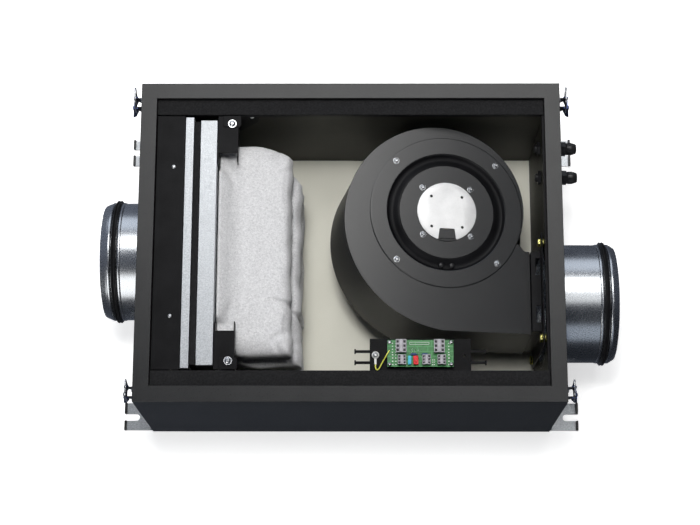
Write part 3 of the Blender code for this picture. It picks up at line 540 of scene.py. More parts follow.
def dress_kept_nodes():
    """Give the frame's own sheet pieces their materials and softly broken edges."""
    kept = dict(KEPT)
    for name in frame["nodes"]:
        if name.startswith("latch_base_"):
            kept[name] = ("black_steel", 0.0002)
        elif name.startswith("lever_"):
            kept[name] = ("blue_steel", 0.0002)
        elif name.startswith("ear_"):
            kept[name] = ("galvanised", 0.0003)
    for name, (material, width) in kept.items():
        node = frame["nodes"][name]
        node.material_slots[0].material = MATERIALS[material]
        weld = node.modifiers.new("weld", "WELD")
        weld.merge_threshold = 0.00001
        flat = node.modifiers.new("flat", "DECIMATE")
        flat.decimate_type = "DISSOLVE"
        flat.angle_limit = radians(0.5)
        if width:
            add_bevel(node, width, 2)


# ---- Duct spigots ----------------------------------------------------------------
def bead(radius, z):
    """Round bead rolled into a tube: part of a profile, centred on z."""
    half, height, steps = 0.0022, 0.0009, 6
    angles = [pi * i / steps for i in range(steps + 1)]
    return [(radius + height * sin(a), z - half * cos(a)) for a in angles]


def spigot(end):
    """Tube with a flange inside, two rolled beads round the seal, and a tapered nose."""
    side = side_of(end)
    low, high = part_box(end + "_spigot")
    wall = outer_x("outer_shell", side)
    reach = abs(outer_x(end + "_spigot", side) - wall)
    seal = abs(middle(end + "_seal").x - wall)
    root = -abs(wall - outer_x("wall_liner", side)) - SHEET + 0.0002
    flange = (high.z - low.z) / 2
    axis = middle(end + "_spigot")
    outer = [
        (flange - 0.0004, root), (flange, root + 0.0004), (flange, root + 0.0009),
        (flange - 0.0004, root + 0.0013), (DUCT_R + 0.0006, root + 0.0013), (DUCT_R, root + 0.0019),
        (DUCT_R, 0.0), (DUCT_R, 0.0006),
    ]
    outer += bead(DUCT_R, seal - 0.0068)
    outer += [(DUCT_R - 0.0010, seal - 0.0038), (DUCT_R - 0.0010, seal + 0.0038)]
    outer += bead(DUCT_R, seal + 0.0068)
    nose = reach - seal - 0.0095
    for i in range(1, 8):
        share = i / 7
        outer.append((DUCT_R - NOSE_TAPER * share, seal + 0.0095 + (nose - 0.0006) * share))
    tip = DUCT_R - NOSE_TAPER
    outer += [(tip - 0.0004, reach), (tip - 0.0009, reach), (tip - 0.0013, reach - 0.0006)]
    bore = DUCT_R - 0.0022
    inner = [(bore - 0.0010, reach - 0.0040), (bore, reach - 0.0110), (bore, seal + 0.0040),
             (bore - 0.0008, seal), (bore, seal - 0.0040), (bore, root)]
    place = Matrix.Translation((wall, axis.y, axis.z)) @ OUTWARD[side]
    bm = turned(outer + inner, True, 128, place)
    place_piece(end + "_duct_spigot", bm, "spigot_zinc", node=end + "_spigot")
    low_r = DUCT_R - 0.0008
    lips = [
        (low_r, -0.0036), (0.0794, -0.0037), (0.0801, -0.0033), (0.0822, -0.0025), (0.0828, -0.0019),
        (0.0826, -0.0013), (0.0806, -0.0009), (0.0802, -0.0001), (0.0807, 0.0005), (0.0822, 0.0010),
        (0.0829, 0.0016), (0.0826, 0.0022), (0.0805, 0.0028), (0.0799, 0.0034), (low_r, 0.0035),
    ]
    bm = turned([(r, seal + z) for r, z in lips], True, 128, place)
    place_piece(end + "_lip_seal", bm, "rubber", node=end + "_seal")


# ---- Cable glands ----------------------------------------------------------------
def cable_gland(name):
    """Hexagon body and lock nut clamped through the wall, and a ribbed dome nut."""
    axis = middle("gland_nut_" + name)
    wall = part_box("outer_shell")[1].x
    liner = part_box("wall_liner")[1].x - SHEET + 0.0002
    body = [
        (0.0045, liner - 0.0080), (0.0054, liner - 0.0080), (0.0058, liner - 0.0076),
        (0.0058, liner - 0.0048), (0.0078, liner - 0.0047), (0.0083, liner - 0.0042, HEXAGON),
        (0.0083, liner - 0.0008, HEXAGON),
        (0.0080, liner - GAP), (0.0058, liner - GAP), (0.0058, wall + GAP), (0.0080, wall + GAP),
        (0.0083, wall + 0.0008, HEXAGON), (0.0083, wall + 0.0040, HEXAGON), (0.0078, wall + 0.0046),
        (0.0066, wall + 0.0047), (0.0066, wall + 0.0105), (0.0045, wall + 0.0105),
    ]
    dome = [
        (0.0071, wall + 0.0052), (0.0080, wall + 0.0052), (0.0085, wall + 0.0058, HEXAGON),
        (0.0085, wall + 0.0134, HEXAGON), (0.0081, wall + 0.0142), (0.0078, wall + 0.0146),
        (0.0082, wall + 0.0154), (0.0081, wall + 0.0205), (0.0076, wall + 0.0240), (0.0066, wall + 0.0266),
        (0.0056, wall + 0.0278), (0.0047, wall + 0.0280), (0.0042, wall + 0.0272), (0.0042, wall + 0.0120),
        (0.0071, wall + 0.0115),
    ]
    place = Matrix.Translation((0, axis.y, axis.z)) @ OUTWARD[1]
    place_piece("gland_shank_" + name, turned(body, True, 72, place), "black_plastic",
                node="gland_body_" + name)
    bm = turned(dome, True, 72, place)
    ribs = 18
    for i in range(ribs):
        turn = place @ Matrix.Rotation(2 * pi * i / ribs, 4, "Z")
        add_block(bm, (0.0076, -0.0004, wall + 0.0158), (0.0084, 0.0004, wall + 0.0215), turn)
    place_piece("gland_dome_" + name, bm, "black_plastic", node="gland_nut_" + name)
    core = [(0.0016, wall + 0.0200), (0.0016, wall + 0.0268), (0.0022, wall + 0.0274),
            (0.0038, wall + 0.0272), (0.0041, wall + 0.0262), (0.0041, wall + 0.0200)]
    place_piece("gland_insert_" + name, turned(core, True, 48, place), "rubber")


# ---- Fasteners -------------------------------------------------------------------
def facing(at, direction):
    """Place for a shape drawn along Z that is to point in a direction."""
    return Matrix.Translation(at) @ Vector(direction).to_track_quat("Z", "Y").to_matrix().to_4x4()


def add_washer(bm, radius, thick):
    """Flat washer under a head."""
    add_turned(bm, [(radius - CHAMFER, 0), (radius, CHAMFER), (radius, thick - CHAMFER),
                    (radius - CHAMFER, thick)], points=48)


def screw(name, at, direction, head=0.0033, height=0.0022, washer=0.0, material="steel", body="casing"):
    """Round-headed screw with a hexagon socket, and a washer if one is asked for."""
    bm = bmesh.new()
    under = 0.0007 if washer else 0.0
    if washer:
        add_washer(bm, washer, under)
    steps, crown = 5, pi / 2 * 0.72
    dome = [(head, under)]
    for i in range(steps + 1):
        angle = crown * i / steps
        dome.append((head * cos(angle), under + height * (0.25 + 0.75 * sin(angle) / sin(crown))))
    socket = head * 0.40
    top = under + height
    dome += [(socket * 1.15, top), (socket, top - CHAMFER, HEXAGON),
             (socket * 0.96, under + height * 0.35, HEXAGON)]
    add_turned(bm, dome, points=48)
    return place_piece(name, bm, material, body, matrix=facing(at, direction))


def hexagon_bolt(name, at, direction, flats=0.0050, height=0.0036, washer=0.0062):
    """Hexagon head with rounded corners on a washer."""
    bm = bmesh.new()
    add_washer(bm, washer, 0.0008)
    head = [(flats * 0.96, 0.0008), (flats, 0.0012, HEXAGON), (flats, height, HEXAGON),
            (flats * 0.97, height + 0.0004), (flats * 0.80, height + 0.0006)]
    add_turned(bm, head, points=48)
    return place_piece(name, bm, "yellow_zinc", matrix=facing(at, direction))


def panel_fasteners():
    """Screws of the inlet cover, the hold-downs and the clip plates."""
    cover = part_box("inlet_cover")[1]
    for i, y in enumerate((-0.1000, 0.1000)):
        at = (cover.x - 0.0140, y, cover.z)
        screw(f"cover_screw_{i + 1}", at, UP, 0.0026, 0.0014, material="nickel")
    for name, side in (("high", 1), ("low", -1)):
        low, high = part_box("hold_down_" + name)
        edge = high.y if side > 0 else low.y
        at = (high.x - 0.0115, edge - side * 0.0110, high.z)
        screw("hold_screw_" + name, at, UP, 0.0042, 0.0028, 0.0056, body="filter_cassette")
        low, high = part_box("clip_plate_" + name)
        inner = low.y if side > 0 else high.y
        at = (high.x - 0.0112, inner, high.z - 0.0145)
        screw("clip_screw_" + name, at, (0, -side, 0), 0.0028, 0.0016, material="nickel")


def collar_fasteners():
    """Four yellow bolts through the collar's flange, each with its nut on the wall side."""
    low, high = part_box("outlet_collar")
    flange = 0.0015
    for i, y in enumerate((low.y + 0.0115, high.y - 0.0115)):
        for j, z in enumerate((low.z + 0.0085, high.z - 0.0085)):
            number = 2 * i + j + 1
            hexagon_bolt(f"collar_bolt_{number}", (high.x - flange, y, z), (-1, 0, 0))
            hexagon_bolt(f"collar_nut_{number}", (high.x, y, z), (1, 0, 0), 0.0050, 0.0024)


# ---- Fan -------------------------------------------------------------------------
def scroll_outline(grow, end, steps=120):
    """Spiral wall, tongue and outlet in the fan's own plane, grown outwards."""
    tongue = -22.0
    top, bottom = -0.0500, -0.1590
    points = [(end, top + grow), (0.1080, top + grow), (0.1053, -0.0496 + grow),
              (0.1030 + grow * 0.4, -0.0480 + grow), (0.1003 + grow * 0.8, -0.0455 + grow),
              (0.0985 + grow, -0.0430 + grow)]
    for i in range(steps + 1):
        angle = tongue + (268.0 - tongue) * i / steps
        quarter = angle / 90
        reach = 0.1035 + 0.0088 * quarter + 0.0032 * quarter ** 2 + grow
        points.append((reach * cos(radians(angle)), reach * sin(radians(angle))))
    points += [(end, bottom - grow)]
    return points


def outlet_trim():
    """Block, in the fan's frame, that cuts the slanting outlet upright."""
    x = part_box("fan_scroll")[1].x
    place = FAN.inverted()
    bm = bmesh.new()
    corners = [(-0.25, -0.15), (0.25, -0.15), (0.25, 0.35), (-0.25, 0.35)]
    add_loft(bm, [[place @ Vector((x + out, y, z)) for y, z in corners] for out in (0.0, 0.10)])
    return bm


def in_fan(bm):
    """Turn a shape from the fan's own frame into place."""
    bmesh.ops.transform(bm, matrix=FAN, verts=bm.verts)
    return bm


def fan_piece(name, bm, materials, node=None, body="casing"):
    """Piece drawn in the fan's own frame."""
    return place_piece(name, in_fan(bm), materials, body, node)


def fan_housing():
    """Scroll with its mouth and outlet cut open, and its lid."""
    block = prism(scroll_outline(0, 0.150), -FAN_DEPTH, -0.0018)
    housing = fan_piece("scroll_housing", block, "scroll_paint", "fan_scroll")
    cut(housing, in_fan(prism(scroll_outline(-SCROLL_SHEET, 0.170), -FAN_DEPTH + SCROLL_SHEET, 0.01)))
    cut(housing, in_fan(turned([(0.0680, -FAN_DEPTH - 0.01), (0.0680, -FAN_DEPTH + 0.01)], points=96)))
    cut(housing, in_fan(outlet_trim()))
    soften(housing, 0.0005, 2)
    lid = fan_piece("scroll_lid", prism(scroll_outline(0.0010, 0.150), -0.0015, 0), "fan_paint", "fan_lid")
    cut(lid, in_fan(turned([(0.0815, -0.01), (0.0815, 0.01)], points=96)))
    cut(lid, in_fan(outlet_trim()))
    soften(lid, 0.0005, 3)


def rounded_step(r0, z0, r1, z1, steps=5):
    """Smooth change of height from one radius to another: part of a profile."""
    points = []
    for i in range(steps + 1):
        share = i / steps
        ease = share * share * (3 - 2 * share)
        points.append((r0 + (r1 - r0) * share, z0 + (z1 - z0) * ease))
    return points


def motor_cover():
    """Round plate with a pressed groove, its grommets, and the motor's bright end plate."""
    top, under, deep = PLATE_TOP, GAP, GROOVE_DEEP
    profile = [(0.0240, top), (0.0244, top), (0.0622, top), (0.0628, top)]
    profile += rounded_step(0.0632, 0.0006, 0.0725, deep, 8) + rounded_step(0.0755, deep, 0.0798, 0.0006, 6)
    profile += [(0.0802, top), (0.0808, top), (0.1004, top)]
    profile += [(0.1012, top), (0.1017, top - 0.0002), (0.1020, top - 0.0006), (0.1020, under)]
    profile += [(0.0812, under), (0.0784, deep - 0.0015), (0.0646, deep - 0.0015), (0.0618, under),
                (0.0240, under)]
    bm = turned(profile, True, 160)
    # faces inside the groove take the second, near-black material: painted shade
    for face in bm.faces:
        centre = face.calc_center_median()
        if 0.0636 < centre.xy.length < 0.0794 and centre.z > deep - 0.0006:
            face.material_index = 1
    fan_piece("motor_mounting_plate", bm, "fan_paint groove_paint", "motor_plate")
    disc_profile = [(0.0396, 0.0021), (0.0396, 0.0031), (0.0394, 0.0034), (0.0390, 0.0036)]
    disc = fan_piece("motor_end_plate", turned(disc_profile, points=128), "bright_metal", "motor_disc")
    notch = [(-0.0130, -0.0450), (0.0130, -0.0450)] + arc(0.0080, -0.0252, 0.0024, -10, 90, 5)
    notch += arc(-0.0080, -0.0252, 0.0024, 90, 190, 5)
    tool = prism(notch, 0.0, 0.01)
    plugs = bmesh.new()
    plug = [(0.0017, 0.0019), (0.0017, 0.0024), (0.0014, 0.0026), (0.0008, 0.0026), (0.0008, 0.0021)]
    for x in (-PLUG_OFFSET, PLUG_OFFSET):
        for y in (-PLUG_OFFSET, PLUG_OFFSET):
            at = Matrix.Translation((x, y, 0))
            add_turned(tool, [(0.0019, 0), (0.0019, 0.01)], points=24, matrix=at)
            add_turned(plugs, plug, points=24, matrix=at)
    cut(disc, in_fan(tool))
    soften(disc, 0.0002, 2)
    fan_piece("end_plate_screws", plugs, "rubber")
    tab = [(-0.0118, -0.0362), (0.0118, -0.0362)] + arc(0.0074, -0.0256, 0.0022, 0, 90, 5)
    tab += arc(-0.0074, -0.0256, 0.0022, 90, 180, 5)
    soften(fan_piece("cable_notch_tab", prism(tab, 0.0020, 0.0030), "fan_paint"), 0.0003, 2)
    outer = arc(0, 0, 0.0400, -109, -71, 14)
    inner = arc(0, 0, 0.0380, -71, -109, 14)
    soften(fan_piece("cable_notch_seal", prism(outer + inner, 0.0020, 0.0035), "rubber"), 0.0002, 2)
    for side, name in ((-1, "left"), (1, "right")):
        at = Matrix.Translation((side * 0.0070, -0.0715, deep))
        bump = [(0.0040, 0.0), (0.0040, 0.0012), (0.0036, 0.0020), (0.0026, 0.0026), (0.0012, 0.0028)]
        fan_piece("cable_grommet_" + name, turned(bump, points=40, matrix=at), "rubber")


def fan_screws():
    """Four screws of the motor plate, then four round the end plate."""
    number = 0
    for reach in (0.0670, 0.0320):
        for sx in (-1, 1):
            for sy in (-1, 1):
                number += 1
                at = FAN @ Vector((sx * reach, sy * reach, PLATE_TOP))
                screw(f"fan_screw_{number}", at, FAN_AXIS, 0.0035, 0.0026, 0.0042)


def motor_inside():
    """Stator, bearings, shaft, rotor cup, impeller and inlet bell mouth."""
    core = [
        (0.0230, 0.0018), (0.0230, -0.0120), (0.0360, -0.0132), (0.0380, -0.0150), (0.0380, -0.0550),
        (0.0365, -0.0575), (0.0350, -0.0580), (0.0113, -0.0580), (0.0113, -0.0130),
    ]
    fan_piece("stator_core", turned(core, points=96), "copper", "motor_stator")
    for name, z in (("lower", -0.0560), ("upper", -0.0230)):
        race = [(0.0044, z), (0.0108, z), (0.0110, z + 0.0002), (0.0110, z + 0.0068), (0.0108, z + 0.0070),
                (0.0090, z + 0.0070), (0.0088, z + 0.0064), (0.0066, z + 0.0064), (0.0064, z + 0.0070),
                (0.0044, z + 0.0070)]
        fan_piece("ball_bearing_" + name, turned(race, True, 72), "steel", "bearing_" + name)
    shaft = [(0.0036, -0.0617), (0.0041, -0.0612), (0.0041, -0.0145), (0.0036, -0.0140)]
    fan_piece("rotor_shaft", turned(shaft, points=48), "steel", "motor_shaft", "rotor")
    cup = [(0.0440, -0.0640), (0.0455, -0.0636), (0.0460, -0.0622), (0.0460, -0.0182), (0.0458, -0.0180),
           (0.0422, -0.0180), (0.0420, -0.0182), (0.0420, -0.0620)]
    fan_piece("rotor_cup", turned(cup, points=96), "steel", "motor_rotor", "rotor")
    bell = [(0.0820, -0.1318), (0.0820, -0.1303), (0.0692, -0.1303), (0.0672, -0.1296), (0.0655, -0.1275)]
    bell += [(0.0640, -0.1240), (0.0626, -0.1195), (0.0615, -0.1152), (0.0607, -0.1150), (0.0600, -0.1152)]
    bell += [(0.0610, -0.1200), (0.0622, -0.1250), (0.0638, -0.1290), (0.0660, -0.1318)]
    fan_piece("inlet_bell_mouth", turned(bell, True, 96), "galvanised", "inlet_ring")
    wheel = turned([(0.0463, -0.0600), (0.0806, -0.0600), (0.0810, -0.0604), (0.0810, -0.0616),
                    (0.0806, -0.0620), (0.0463, -0.0620)], True, 96)
    add_turned(wheel, [(0.0650, -0.1100), (0.0808, -0.1100), (0.0810, -0.1104), (0.0810, -0.1116),
                       (0.0806, -0.1120), (0.0650, -0.1120)], True, 96)
    inner, outer, reach = 0.0662, 0.0800, 0.0105
    shares = [k / 8 for k in range(9)]
    curve = [(inner + (outer - inner) * share ** 0.85, reach * share ** 2.2) for share in shares]
    outline = curve + [(x - 0.0002, y + 0.0010) for x, y in reversed(curve)]
    for i in range(BLADES):
        turn = Matrix.Rotation(2 * pi * i / BLADES, 4, "Z")
        add_loft(wheel, [[turn @ Vector((x, y, z)) for x, y in outline] for z in (-0.1102, -0.0618)])
    fan_piece("blower_wheel", wheel, "fan_plastic", "impeller", "rotor")


# ---- Connection board ------------------------------------------------------------
# Places are X and Y on the board, heights are above its face.
TERMINALS = {   # kind: places, then width, length and height
    "mains": (((0.0657, -0.1322), (0.1151, -0.1322)), (0.0138, 0.0168, 0.0095)),
    "signal": (((0.0667, -0.1500), (0.0984, -0.1500), (0.1180, -0.1500)), (0.0108, 0.0122, 0.0085)),
}
CASES = {       # name: material, rounding, its segments, then the corners of its blocks
    "film_capacitor": ("blue_film", 0.0008, 4, [((0.0745, -0.1564, 0), (0.0790, -0.1446, 0.0046))]),
    "fuse_holder": ("red_case", 0.0007, 3, [((0.0815, -0.1564, 0), (0.0880, -0.1446, 0.0052)),
                                             ((0.0826, -0.1536, 0.005), (0.0869, -0.1474, 0.0064))]),
}
RESISTORS = ((0.0822, -0.1424), (0.0966, -0.1424))
INK = 0.00012
MARKS = (       # columns, first Y, pitch, marks in a column, size of a mark
    ((0.0540, 0.0582, 0.1268), -0.1560, 0.0042, 4, (0.0016, 0.0012)),
    ((0.0540, 0.0582, 0.1268), -0.1400, 0.0040, 4, (0.0014, 0.0010)),
    ((0.1060, 0.1082), -0.1560, 0.0030, 3, (0.0012, 0.0010)),
)
MARKED_FIELD = ((0.0770, -0.1290), (0.1020, -0.1262))
EARTH_ROUTE = (
    (0.0327, -0.1536, 0.1861), (0.0327, -0.1572, 0.1863), (0.0332, -0.1602, 0.1868),
    (0.0352, -0.1616, 0.1876), (0.0374, -0.1600, 0.1886), (0.0399, -0.1558, 0.1902),
    (0.0442, -0.1482, 0.1926), (0.0480, -0.1417, 0.1937), (0.0507, -0.1372, 0.1932),
)


def terminal_block(name, x, y, width, length, height, base):
    """Moulded block with a ridge along its middle and three pairs of wire openings."""
    bm = bmesh.new()
    half = width / 2
    shoulder, ridge = height * 0.74, width * 0.13
    foot = (ridge + 0.0004, shoulder + 0.0004)
    section = [(-half, 0), (half, 0), (half, shoulder), foot, (ridge, height), (-ridge, height),
               (-foot[0], foot[1]), (-half, shoulder)]
    place = Matrix.Translation((x, y, base))
    rings = [[place @ Vector((u, v, w)) for u, w in section] for v in (-length / 2, length / 2)]
    add_loft(bm, rings)
    rows = 3
    pitch = length / rows
    for side in (-1, 1):
        for row in range(rows):
            v = -length / 2 + pitch * (row + 0.5)
            middle_u = side * (half + ridge) / 2
            w0, w1 = (half - ridge) * 0.32, pitch * 0.30
            # a near-black patch in each opening stands for the shade inside the hole: painted shade
            before = set(bm.faces)
            low = (middle_u - w0, v - w1, shoulder - 0.0002)
            add_block(bm, low, (middle_u + w0, v + w1, shoulder + 0.0004), place)
            for face in set(bm.faces) - before:
                face.material_index = 1
            wall = 0.00045
            for sign in (-1, 1):
                edge = v + sign * pitch * 0.46
                add_block(bm, (middle_u - w0 - 0.0006, edge - wall, 0.001),
                          (middle_u + w0 + 0.0006, edge + wall, shoulder + 0.0012), place)
    soften(place_piece(name, bm, "terminal_grey socket_black"), 0.00015, 1)


def circuit_board():
    """Board on four spacers, with its screws and terminal blocks. Returns the board's face."""
    low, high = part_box("circuit_board")
    bracket_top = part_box("board_bracket")[1].z
    thick, inset = 0.0016, 0.0030
    spacers = bmesh.new()
    top = bracket_top + 0.0076
    bm = bmesh.new()
    add_block(bm, (low.x, low.y, top - thick), (high.x, high.y, top))
    board = place_piece("printed_board", bm, "green_board", node="circuit_board")
    for number, (x, y) in enumerate((x, y) for x in (low.x + inset, high.x - inset)
                                    for y in (low.y + inset, high.y - inset)):
        spacer = [(0.0025, bracket_top + GAP, HEXAGON), (0.0025, top - thick, HEXAGON)]
        add_turned(spacers, spacer, points=36, matrix=Matrix.Translation((x, y, 0)))
        screw(f"board_screw_{number + 1}", (x, y, top), UP, 0.0028, 0.0020)
    soften(board, 0.0002, 2)
    place_piece("board_spacers", spacers, "steel")
    for kind, (row, size) in TERMINALS.items():
        for number, (x, y) in enumerate(row):
            terminal_block(f"{kind}_terminal_{number + 1}", x, y, *size, top)
    return top


def board_parts(top):
    """Capacitor, fuse holder, two resistors, pads and printed marks."""
    for name, (material, rounding, segments, blocks) in CASES.items():
        bm = bmesh.new()
        for low, high in blocks:
            add_block(bm, low, high, Matrix.Translation((0, 0, top)))
        soften(place_piece(name, bm, material), rounding, segments)
    for number, (x, y) in enumerate(RESISTORS):
        body = bmesh.new()
        add_turned(body, [(0.0012, -0.0034), (0.0016, -0.0030), (0.0016, 0.0030), (0.0012, 0.0034)],
                   points=32, matrix=Matrix.Translation((x, y, top + 0.0016)) @ OUTWARD[1])
        bends = ((0.0030, 0.0016), (0.0044, 0.0015), (0.0050, 0.0008), (0.0050, -0.0002))
        for side in (-1, 1):
            tube(body, smooth_path([Vector((x + side * u, y, top + w)) for u, w in bends], 4), 0.0003, 8)
        place_piece(f"board_resistor_{number + 1}", body, "navy_case")
    marks = bmesh.new()

    def mark(x, y, wide, deep):
        add_block(marks, (x, y, top), (x + wide, y + deep, top + INK))

    for columns, first, pitch, rows, size in MARKS:
        for x in columns:
            for row in range(rows):
                mark(x, first + row * pitch, *size)
    (x0, y0), (x1, y1) = MARKED_FIELD
    for x in (x0, x1):
        mark(x - 0.0002, y0, 0.0004, y1 - y0)
    for y in (y0, y1):
        mark(x0, y - 0.0002, x1 - x0, 0.0004)
    place_piece("board_markings", marks, "white_ink", smooth=False)
    pads = bmesh.new()
    for row in range(4):
        for column in range(3):
            at = Matrix.Translation((0.0800 + column * 0.0040, -0.1352 - row * 0.0018, top))
            add_turned(pads, [(0.0006, 0), (0.0005, 0.0003), (0.0002, 0.0005)], points=16, matrix=at)
    place_piece("solder_joints", pads, "steel")


def earth_connection():
    """Ring lug under its screw, white sleeve and the yellow wire to the board."""
    low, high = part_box("earth_lug")
    eye_r = (high.x - low.x) / 2
    centre = Vector(((low.x + high.x) / 2, high.y - eye_r, low.z))
    eye = [(0.0022, 0), (eye_r - 0.0002, 0), (eye_r, 0.0002), (eye_r, 0.0006), (eye_r - 0.0002, 0.0008),
           (0.0022, 0.0008)]
    bm = turned(eye, True, 64, Matrix.Translation(centre))
    bends = ((-0.0032, 0.0006), (-0.0044, 0.0010), (-0.0056, 0.0017), (-0.0070, 0.0018))
    tube(bm, smooth_path([centre + Vector((0, y, z)) for y, z in bends], 5), 0.0010, 20)
    place_piece("ring_lug", bm, "nickel")
    sleeve = [centre + Vector((0, y, 0.0018)) for y in (-0.0050, -0.0090, -0.0125)]
    bm = bmesh.new()
    tube(bm, smooth_path(sleeve, 5), 0.0016, 28)
    place_piece("lug_sleeve", bm, "white_plastic", node="earth_lug")
    screw("earth_screw", centre + UP * 0.0008, UP, 0.0036, 0.0024, 0.0046, "nickel")
    bm = bmesh.new()
    tube(bm, smooth_path([Vector(p) for p in EARTH_ROUTE], 8), 0.0008, 20)
    place_piece("earth_lead", bm, "yellow_plastic", node="earth_wire")
    x, y, z = EARTH_ROUTE[-1]
    pin = Matrix.Translation((x, y, z - 0.0016))
    tag = [(0.0013, 0.0), (0.0013, 0.0012), (0.0009, 0.0018), (0.0004, 0.0020)]
    place_piece("earth_tag", turned(tag, points=32, matrix=pin), "steel")


# ---- Latches ---------------------------------------------------------------------
def latch(name):
    """Wire loop, pin heads, screw and rivet of one draw latch."""
    side = side_of(name)
    low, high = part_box("bail_" + name)
    pivot = Vector(JOINTS["bail_turn_" + name]["pos_m"])
    lever_pivot = Vector(JOINTS["lever_turn_" + name]["pos_m"])
    half = (high.y - low.y) / 2 - LATCH_WIRE_R
    reach = high.z - LATCH_WIRE_R - pivot.z
    lean, foot, bend, end = -0.0030, 0.0018, 0.0050, 0.0071
    half_path = [(end, 0.0), (half - 0.0022, 0.0)] + arc(half - foot, foot, foot, -90, 0, 6)
    half_path += [(half, reach * share) for share in (0.25, 0.5, 0.75)]
    half_path += arc(half - bend, reach - bend, bend, 0, 90, 8)
    path = half_path + [(-y, z) for y, z in reversed(half_path)]
    bm = bmesh.new()
    tube(bm, [pivot + Vector((side * lean * z / reach, y, z)) for y, z in path], LATCH_WIRE_R, 16)
    place_piece("wire_loop_" + name, bm, "steel", "bail_" + name, "bail_" + name)
    for sign, tag in ((-1, "a"), (1, "b")):
        at = lever_pivot + Vector((0, sign * 0.0088, 0))
        screw(f"pin_head_{name}_{tag}", at, (0, sign, 0), 0.0024, 0.0012, material="latch_steel")
    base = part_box("latch_base_" + name)[1]
    face = outer_x("latch_base_" + name, -side) + side * SHEET
    screw("latch_screw_" + name, (face, pivot.y, base.z - 0.0050), (side, 0, 0), 0.0026, 0.0016)
    knob = [(0.0016, 0.0), (0.0030, 0.0004), (0.0034, 0.0014), (0.0030, 0.0026), (0.0014, 0.0032)]
    lever = "lever_" + name
    x, z = outer_x(lever, side) - side * 0.0042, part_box(lever)[0].z + 0.0160
    at = Matrix.Translation((x, pivot.y, z)) @ OUTWARD[side]
    place_piece("lever_rivet_" + name, turned(knob, points=40, matrix=at), "latch_steel", lever)


def ear_details(name):
    """Two rivets through the upstand, and a black strip along the end lip that stands for the folded lip's
    shade (painted shade).
    """
    side = side_of(name)
    low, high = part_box("ear_" + name)
    wall, outer = outer_x("ear_" + name, -side), outer_x("ear_" + name, side)
    middle_y = (low.y + high.y) / 2
    dome = [(0.0036, 0.0), (0.0036, 0.0003), (0.0030, 0.0012), (0.0016, 0.0017)]
    rivets = bmesh.new()
    for offset in (-0.0110, 0.0110):
        at = Matrix.Translation((wall + side * 0.0015, middle_y + offset, high.z - 0.0070))
        add_turned(rivets, dome, points=40, matrix=at @ OUTWARD[side])
    place_piece("ear_rivets_" + name, rivets, "steel")
    slot_y = JOINTS["lever_turn_" + name]["pos_m"][1]
    slot_y = slot_y + (-0.0020 if slot_y > 0 else 0.0020)
    # black blocks along the lip in the rubber material: painted shade for the shade on the folded lip
    lip_shade_strip = bmesh.new()
    half = 0.0046
    grip, height = 0.0008, high.z - 0.0160 + 0.0006
    for y0, y1 in ((low.y - 0.0004, slot_y - half - 0.0002), (slot_y + half + 0.0002, high.y + 0.0004)):
        add_block(lip_shade_strip, (outer - side * 0.0024, y0, 0.0016), (outer + side * grip, y1, height))
    soften(place_piece("ear_lip_shade_strip_" + name, lip_shade_strip, "rubber"), 0.0005, 2)


# ---- Filter pockets --------------------------------------------------------------
def rounded_section(x, y0, y1, z, half, corner):
    """Points round a pocket: flat above and below, rounded along both long edges."""
    corner = min(corner, half * 0.98)
    points = []
    for side, edge in ((1, y1), (-1, y0)):
        centre = edge - side * corner
        for start, stop, sign in ((-90, 0, -1), (0, 90, 1)):
            for i in range(4):
                angle = radians(start + (stop - start) * i / 3)
                points.append((centre + side * corner * cos(angle),
                               z + side * (corner * sin(angle) + sign * (half - corner))))
        other = (y0 + corner) if side > 0 else (y1 - corner)
        for i in range(1, POCKET_STEPS):
            points.append((centre + (other - centre) * i / POCKET_STEPS, z + side * half))
    return [Vector((x, y, h)) for y, h in points]


def header(point, mouth):
    """How far the top pocket's fleece climbs up the frame, lower under the hold-downs."""
    between = max(0.0, min(1.0, (CHANNEL_EDGE - abs(point.y)) / 0.005))
    slope = max(0.0, 1 - (point.x - mouth) / 0.034)
    return (0.0125 + 0.0165 * between) * slope ** 2.0


def pocket_shell(number, name):
    """Even mesh of one pocket: full at its mouth, closed along its free end."""
    low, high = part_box(f"filter_pocket_{number}")
    top = number == TOP_POCKET
    z = (low.z + high.z) / 2
    full = (high.z - low.z) / 2 * 0.96
    near = POCKET_NEAR
    far_low, far_high = low.y + 0.0005, 0.1275 if top else 0.1040
    rings = []
    for i in range(POCKET_STATIONS + 1):
        share = (i / POCKET_STATIONS) ** 0.85
        open_end = min(1.0, share / 0.45)
        ease = open_end * open_end * (3 - 2 * open_end)
        drop = max(0.0, (share - 0.45) / 0.55)
        y0 = -near + (far_low + near) * ease
        y1 = near + 0.0060 * sin(pi * min(1.0, share / 0.5) / 2) - (near + 0.0060 - far_high) * drop ** 1.7
        fall = max(0.0, (share - 0.925) / 0.075)
        half = full * (1 - 0.80 * fall ** 2.6)
        rings.append(rounded_section(low.x + (high.x - low.x) * share, y0, y1, z, half, 0.0110))
    if top:
        for point in (point for points in rings for point in points if point.z > z + 0.010):
            point.z += header(point, low.x)
    bm = bmesh.new()
    add_loft(bm, rings)
    bmesh.ops.triangulate(bm, faces=[face for face in bm.faces if len(face.verts) > 4])
    return new_object(name, bm)


